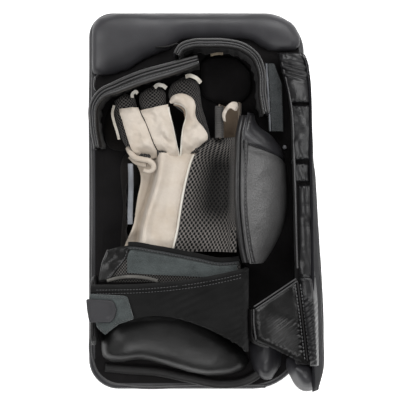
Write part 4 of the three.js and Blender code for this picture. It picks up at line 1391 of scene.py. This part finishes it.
def build_cuff():
    outline = loop_route([[-98.5, -144], [-96.5, -131], [-88, -120], [-66, -111], [-40, -107], [-14, -109], [14, -121],
                          [34, -136], [48, -150], [54, -160], [52.4, -168], [43.5, -174], [25.5, -177.3],
                          [3.6, -175.3], [-16, -170.3], [-36, -164.4], [-56, -160.4], [-76, -163],
                          [-91, -162.5], [-97.5, -155]], 170)

    def top(x, y, depth):
        crown = 3 * ease(0, 32, depth)
        left_slope = 0.25 * np.maximum(0, -72 - x)
        low_slope = 0.3 * np.maximum(0, x - 22 - 0.6 * (y + 150))
        return 47 + 19 * dome(depth, 10) + crown - left_slope - low_slope + 0.5 * wander(x, y, 60, 71)

    pad = puff("wrist_cushion", outline, top, lambda x, y, d: 44 - 5.4 * dome(d, 9), 3)
    swell(pad, voxel=4.5, pressure=2.0, cap=2.0, pinned=lambda p: p[2] < 40)
    finish_piece(pad, "board", "gloss", "gloss_leather", "wrist_pad")
    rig.padded(pad, fill=0.9)

    hem = route([[-92, -168, 40], [-70, -170, 41], [-40, -172, 42], [-10, -178, 42], [25, -184.5, 42],
                 [50, -181, 42], [64, -172, 43], [70, -158, 44]], 90)
    finish_piece(tube("cuff_hem", hem, 4.6, 16, 0.7), "board", "wrinkled", "leather")

    line = np.array([[46, -138.0], [46, -104], [46, -69]])
    flank = section_loft("cuff_flank_wall", route(line, 60), rounded_bar(3.0, DECK - 1, 66))
    finish_piece(flank, "board", "wrinkled", "leather", "cuff_flank")
    line = np.array([[-101.2, -133.0], [-101.4, -108], [-101.2, -84]])
    wing = section_loft("cuff_wing_wall", route(line, 50), rounded_bar(3.0, DECK - 1, 83.5))
    finish_piece(wing, "board", "wrinkled", "leather", "cuff_wing")

    outline = loop_route([[53, -152], [55, -138], [68, -128], [84, -133], [88, -152], [84, -170], [72, -183],
                          [61, -178]], 100)

    def gusset_top(x, y, depth):
        fold = 2.2 * hump(x - 0.25 * (y + 150), 80, 2.5)
        return 41 + 13 * dome(depth, 9) + 6 * ease(4, 18, depth) - fold * ease(2, 8, depth)

    gusset = puff("cuff_fold", outline, gusset_top, flat_at(DECK - 0.4))
    finish_piece(swell(gusset, cap=2.0, pinned=lambda p: p[2] < 38.8), "board", "board", "leather", "cuff_gusset")
    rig.padded(gusset, fill=0.6)


BAND_TOP_Y = smooth([[-97, -49], [-82, -47], [-66, -43.6], [-40, -47], [0, -54.5], [23, -59], [43, -57.5]])
BAND_LEVEL = smooth([[-97, 75], [-66, 77], [0, 79.5], [43, 81]])


def build_heel_band():
    v, u = unit_grid(34, 120)
    x = -89 + u * 132
    low, high = np.full_like(x, -80.0), BAND_TOP_Y(x)
    y = low + (high - low) * v
    z = BAND_LEVEL(x) + 2.4 - 3.0 * ease(0.75, 1, v) - 2.0 * ease(0.25, 0, v)
    band = sheet("heel_band_mesh", np.stack([x, y, z], axis=-1), 2.6, uv=np.stack([x, y], axis=-1))
    finish_piece(band, "board", "fine_mesh", "spacer_mesh", "heel_band")
    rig.sheet(band, flat=(0.132, 0.034), held="stretched")

    x = -68 + u * 108
    high = BAND_TOP_Y(x) - 3.5
    low = np.interp(x, [-68, -40, 40], [-70.5, -72.5, -76])
    y = low + (high - low) * v
    z = BAND_LEVEL(x) + 3.9 - 1.8 * ease(0.8, 1, v)
    loop = sheet("heel_loop", np.stack([x, y, z], axis=-1), 1.4)
    finish_piece(loop, "board", "loop", "loop_fabric", "heel_loop_panel")
    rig.sheet(loop, flat=(0.108, 0.026), held="stretched")

    x = np.linspace(-67, 42, 120)
    edge = np.column_stack([x, BAND_TOP_Y(x) + 1.0, BAND_LEVEL(x) + 2.4])
    finish_piece(tube("heel_edge", edge, 2.5, 12, 0.8), "board", "nylon", "leather", "heel_binding")
    strip = edge + [0, -3.6, 1.4]
    finish_piece(tube("heel_edge_strip", strip, 1.3, 10, 0.7), "board", "strap_edge", "nylon")
    finish_piece(stitches("heel_stitches", strip + [0, -0.4, 0.8], 3.0, 2.0, 0.3), "board", "thread", "leather")

    corners = [[-97, -80], [-90.5, -79.5], [-84, -76], [-76, -66], [-68, -56], [-65.5, -50], [-65.5, -44], [-76, -45],
               [-88, -48.5], [-93, -60]]
    outline = divided(corners, 6)
    patch = puff("heel_end_patch", outline,
                 lambda x, y, d: BAND_LEVEL(x) + 3.2 + 1.6 * dome(d, 2.5) + 0.5 * wander(x, y, 14, 81),
                 lambda x, y, d: BAND_LEVEL(x) + 3.0, 1.8)
    finish_piece(patch, "board", "patch", "leather", "heel_patch")
    seam = np.array([[-88.5, -76.5], [-79, -66], [-70, -55], [-68, -48]])
    seam = route(seam, 40)
    seam = np.column_stack([seam, BAND_LEVEL(seam[:, 0]) + 4.9])
    finish_piece(stitches("heel_patch_stitches", seam, 2.8, 2.0, 0.32), "board", "thread", "leather")

    curve = route([[-88, -78.5, 79.5], [-80, -76.2, 80], [-66, -74.4, 80.8], [-50, -75.6, 81.2],
                   [-38, -78.5, 81.2]], 50)
    finish_piece(tube("heel_lower_edge", curve, 1.7, 10, 0.6), "board", "webbing_grey", "loop_fabric")


STRAP_HINGE = ((54, -106, 86), (40, -106, 88))
STRAP_Z = smooth([[-104, 84.5], [-60, 88], [0, 90], [30, 89], [50, 86]])
STRAP_UPPER = smooth([[-104, -83.5], [-49, -82], [10, -75], [50, -66.5]])
STRAP_LOWER = smooth([[-104, -119], [-70, -116.5], [-37, -112.5], [0, -121], [38, -139.5], [50, -147]])


def build_wrist_strap():
    v, u = unit_grid(70, 150)
    x = -103.5 + u * 156.5
    low, high = STRAP_LOWER(x) - 3.0 * ease(46, 53, x), STRAP_UPPER(x)
    y = low + (high - low) * v
    shape = 0.6 + 0.6 * wander(x, y, 40, 92)
    pull = np.sin((y - 0.45 * x) / 1.25 + 2.2 * wander(x, y, 60, 91)) * ease(-50, 0, x) * shape
    z = STRAP_Z(x) + STRAP_THICKNESS + 1.15 * pull - 1.8 * ease(0.16, 0, v) - 1.2 * ease(0.9, 1, v)
    z -= 1.3 * hump(high - y, 7.2, 0.9)
    z -= 26 * np.clip((x - 43) / 10, 0, 1) ** 2.4
    z += 1.6 * hump(v, 0.06, 0.06) * ease(-50, -10, x)
    strap = sheet("wrist_strap_panel", np.stack([x, y, z], axis=-1), 3.0)
    finish_piece(strap, "wrist_strap", "nylon", "nylon", "wrist_strap", blend=STRAP_HINGE)
    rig.sheet(strap, flat=(0.162, 0.060), held="stretched")

    x = np.linspace(-103, 50, 130)
    fall = -26 * np.clip((x - 43) / 10, 0, 1) ** 2.4
    edge = np.column_stack([x, STRAP_UPPER(x) - 0.6, STRAP_Z(x) + 1.4 + fall])
    finish_piece(tube("strap_edge_top", edge, 1.9, 10, 0.9), "wrist_strap", "strap_edge_black", "nylon",
                 blend=STRAP_HINGE)
    seam = np.column_stack([x, STRAP_UPPER(x) - 7.2, STRAP_Z(x) + STRAP_THICKNESS - 0.6 + fall])[3:-4]
    for name, line in (("strap_stitches", seam), ("strap_stitches_upper", seam + [0, 3.4, 0.6])):
        finish_piece(stitches(name, line, 3.0, 2.1, 0.34, 0.2), "wrist_strap", "thread", "leather",
                     blend=STRAP_HINGE)

    tab = fine_outline([[-105.6, -90.7], [-97, -124], [-89, -130.7], [-82, -125], [-75.4, -120], [-60.8, -115],
                        [-67.6, -92.6]], 10)
    base = STRAP_THICKNESS + 0.4

    def tab_top(x, y, depth):
        curl = 1.8 * hump(x, -64, 4) * ease(-122, -98, y)
        return STRAP_Z(x) + base + 1.5 + 0.5 * dome(depth, 2) + 0.8 * wander(x, y, 20, 95) + curl

    piece = puff("strap_tab_loop", tab, tab_top, lambda x, y, d: STRAP_Z(x) + base, 1.8)
    finish_piece(piece, "strap_tab", "loop", "loop_fabric", "strap_tab")
    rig.sheet(piece, flat=(0.045, 0.040), held="laid")
    centre = np.array([-84, -107.0])
    ring = pulled_in(tab, centre, 2.4)
    line = np.column_stack([ring, STRAP_Z(ring[:, 0]) + base + 2.2 + 0.8 * wander(*ring.T, 20, 95)])
    finish_piece(stitches("tab_stitches", line, 2.8, 2.0, 0.36), "strap_tab", "thread", "leather")

    pull = fine_outline([[-107.6, -95.5], [-106.6, -107], [-104.5, -118.5], [-84, -118.5], [-79.5, -114],
                         [-77.4, -107.3], [-79, -100.5], [-82.3, -96.5]], 8)

    def pull_top(x, y, depth):
        return STRAP_Z(x) + base + 3.8 + 1.2 * dome(depth, 2.2) - 1.2 * hump(depth, 3.4, 0.7)

    piece = puff("strap_pull_patch", pull, pull_top, lambda x, y, d: STRAP_Z(x) + base + 1.9, 1.1)
    finish_piece(piece, "strap_tab", "board", "leather", "strap_pull")
    ring = pulled_in(pull, np.array([-92, -107.0]), 3.6)
    line = np.column_stack([ring, STRAP_Z(ring[:, 0]) + base + 4.0])
    finish_piece(stitches("pull_stitches", line, 2.8, 2.0, 0.36, 0.1), "strap_tab", "thread", "leather")


def fine_outline(corners, steps):
    """Extra points along a polygon, with its corners slightly rounded."""
    points = divided(corners, steps)
    return (points + 0.5 * (np.roll(points, 1, axis=0) + np.roll(points, -1, axis=0))) / 2


def pulled_in(outline, centre, step):
    """A closed outline moved towards a centre."""
    ring = np.vstack([outline, outline[:1]])
    inward = centre - ring
    return ring + step * inward / np.linalg.norm(inward, axis=1)[:, None]


def build_index_strap():
    v, u = unit_grid(70, 20)
    y = 70 + v * 68
    left = np.interp(y, [70, 138], [72.6, 68.6])
    right = np.interp(y, [70, 118, 138], [87.6, 86, 78.5])
    x = left + (right - left) * u
    z = 48 + 0.7 * np.sin(y / 14)
    web = sheet("index_web", np.stack([x, y, z], axis=-1), 1.8)
    finish_piece(web, "index_strap", "strap_edge", "nylon", "index_strap")
    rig.sheet(web, flat=(0.012, 0.068), held="laid")
    inset = left + 3.4
    x = inset + (right - 0.8 - inset) * u
    hook = sheet("index_hook_face", np.stack([x, y, z + 1.5], axis=-1), 1.3)
    finish_piece(hook, "index_strap", "hook", "loop_fabric", "index_strap_hook")
    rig.sheet(hook, flat=(0.010, 0.065), held="laid")
    line = np.column_stack([np.interp(v[:, 0], [0, 1], [74.2, 70.2]), y[:, 0], z[:, 0] + 0.5])
    finish_piece(tube("index_web_edge", line, 1.0, 8, 0.7), "index_strap", "webbing", "loop_fabric")


def build_fittings():
    """Small sewn or riveted pieces on the board and in the guards."""
    turn = np.linspace(0, 2 * math.pi, 24, endpoint=False)
    rings = [np.column_stack([89 + r * np.cos(turn), 54.3 + r * np.sin(turn), np.full(24, z)])
             for r, z in ((2.2, 38.4), (2.2, 40.4), (1.7, 41.2), (0.7, 41.6))]
    finish_piece(loft("board_rivet", np.array(rings)), "board", "rivet", "nylon")
    label = ribbon("pocket_tape", [[14, 143.2, 82], [20, 144.4, 84], [26.4, 144.6, 82.5]], 2.6)
    finish_piece(label, "board", "tape", "lining")
    keeper = route([[-98.5, 109, 46], [-101.5, 114, 55], [-101.5, 121, 57], [-99.5, 126, 48]], 30)
    finish_piece(tube("guard_keeper", keeper, 1.3), "board", "binding", "leather")
    wall = route([[54.6, -106.5], [55.2, -121], [57.4, -135.5], [63, -138.5], [72, -141.5]], 60)
    side = plan_normals(wall)
    grid = []
    for z, bow in ((87, 0.0), (80, -1.5), (66, -3.4), (52, -2.4), (39.2, 0.5)):
        grid.append(np.column_stack([wall + side * bow, np.full(60, z) + 0.6 * np.sin(wall[:, 1] / 2.5)]))
    web = sheet("patch_web", route_rows(np.array(grid), 24), 1.8)
    finish_piece(web, "board", "wrinkled", "leather")


# ---------------------------------------------------------------- frame parts that stay, stage, camera

def finish_cad_nodes():
    for name, part in frame["nodes"].items():
        part.data.materials.clear()
        part.data.materials.append(MATERIALS["plastic" if name == "board_stiffener" else "foam"])


def build_stage():
    half_side, level = 3.0, -0.002
    corners = [(half_side * x, half_side * y, level) for x, y in ((-1, -1), (1, -1), (1, 1), (-1, 1))]
    mesh = bpy.data.meshes.new("floor")
    mesh.from_pydata(corners, [], [(0, 1, 2, 3)])
    floor = bpy.data.objects.new("floor", mesh)
    bpy.context.scene.collection.objects.link(floor)
    s = Shader("pale_floor", 0.9, specular=0.1)
    s.surface.inputs["Base Color"].default_value = (0.9, 0.9, 0.9, 1)
    s.surface.inputs["Emission Color"].default_value = (1, 1, 1, 1)
    s.surface.inputs["Emission Strength"].default_value = 0.7
    floor.data.materials.append(s.material)
    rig.stage(floor)


LIT_POINT = (0, 0, 0.04)
WORLD_STRENGTH = 0.1
EYE = (0.0036, 0.001, 1.6)
LENS = 139.1


def area_light(name, place, size, power):
    data = bpy.data.lights.new(name, "AREA")
    data.shape = "RECTANGLE"
    data.size, data.size_y = size
    data.energy = power
    lamp = bpy.data.objects.new(name, data)
    lamp.location = place
    lamp.rotation_euler = (Vector(LIT_POINT) - Vector(place)).to_track_quat("-Z", "Y").to_euler()
    bpy.context.scene.collection.objects.link(lamp)


def build_lights():
    world = bpy.data.worlds.new("studio")
    world.use_nodes = True
    world.node_tree.nodes["Background"].inputs["Color"].default_value = (1, 1, 1, 1)
    world.node_tree.nodes["Background"].inputs["Strength"].default_value = WORLD_STRENGTH
    bpy.context.scene.world = world
    area_light("key", (0.3, 1.1, 1.15), (1.3, 0.6), 16)
    area_light("front", (0.1, -0.9, 1.3), (1.2, 0.6), 11)
    area_light("right", (1.1, 0.3, 1.0), (0.5, 1.2), 8)
    area_light("left", (-1.0, 0.2, 1.2), (0.7, 1.0), 11)


def build_camera():
    camera = bpy.data.cameras.new("camera")
    camera.sensor_width = 36
    camera.lens = LENS
    eye = bpy.data.objects.new("camera", camera)
    eye.location = EYE
    bpy.context.scene.collection.objects.link(eye)
    bpy.context.scene.camera = eye
    bpy.context.scene.view_settings.view_transform = "Standard"


finish_cad_nodes()
build_stage()
build_lights()
build_camera()
build_board()
build_top_roll()
build_guard("finger_guard", FINGER_GUARD, 4.5, 90, "lining", 130, FINGER_RIM)
build_guard("index_guard", INDEX_GUARD, 4, 97, "back", 150, INDEX_RIM)
build_hand_pads()
build_palm()
build_gusset()
for finger in FINGERS:
    build_finger(finger)
build_index_stall()
build_thumb_guard()
build_side_board()
build_wrap_patch()
build_cuff()
build_heel_band()
build_wrist_strap()
build_index_strap()
build_fittings()

VISUAL_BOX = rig.bounds()
with open("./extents.json", "w") as file:
    json.dump({"cad": [list(c) for c in CAD_BOX], "visual": [list(c) for c in VISUAL_BOX]}, file)
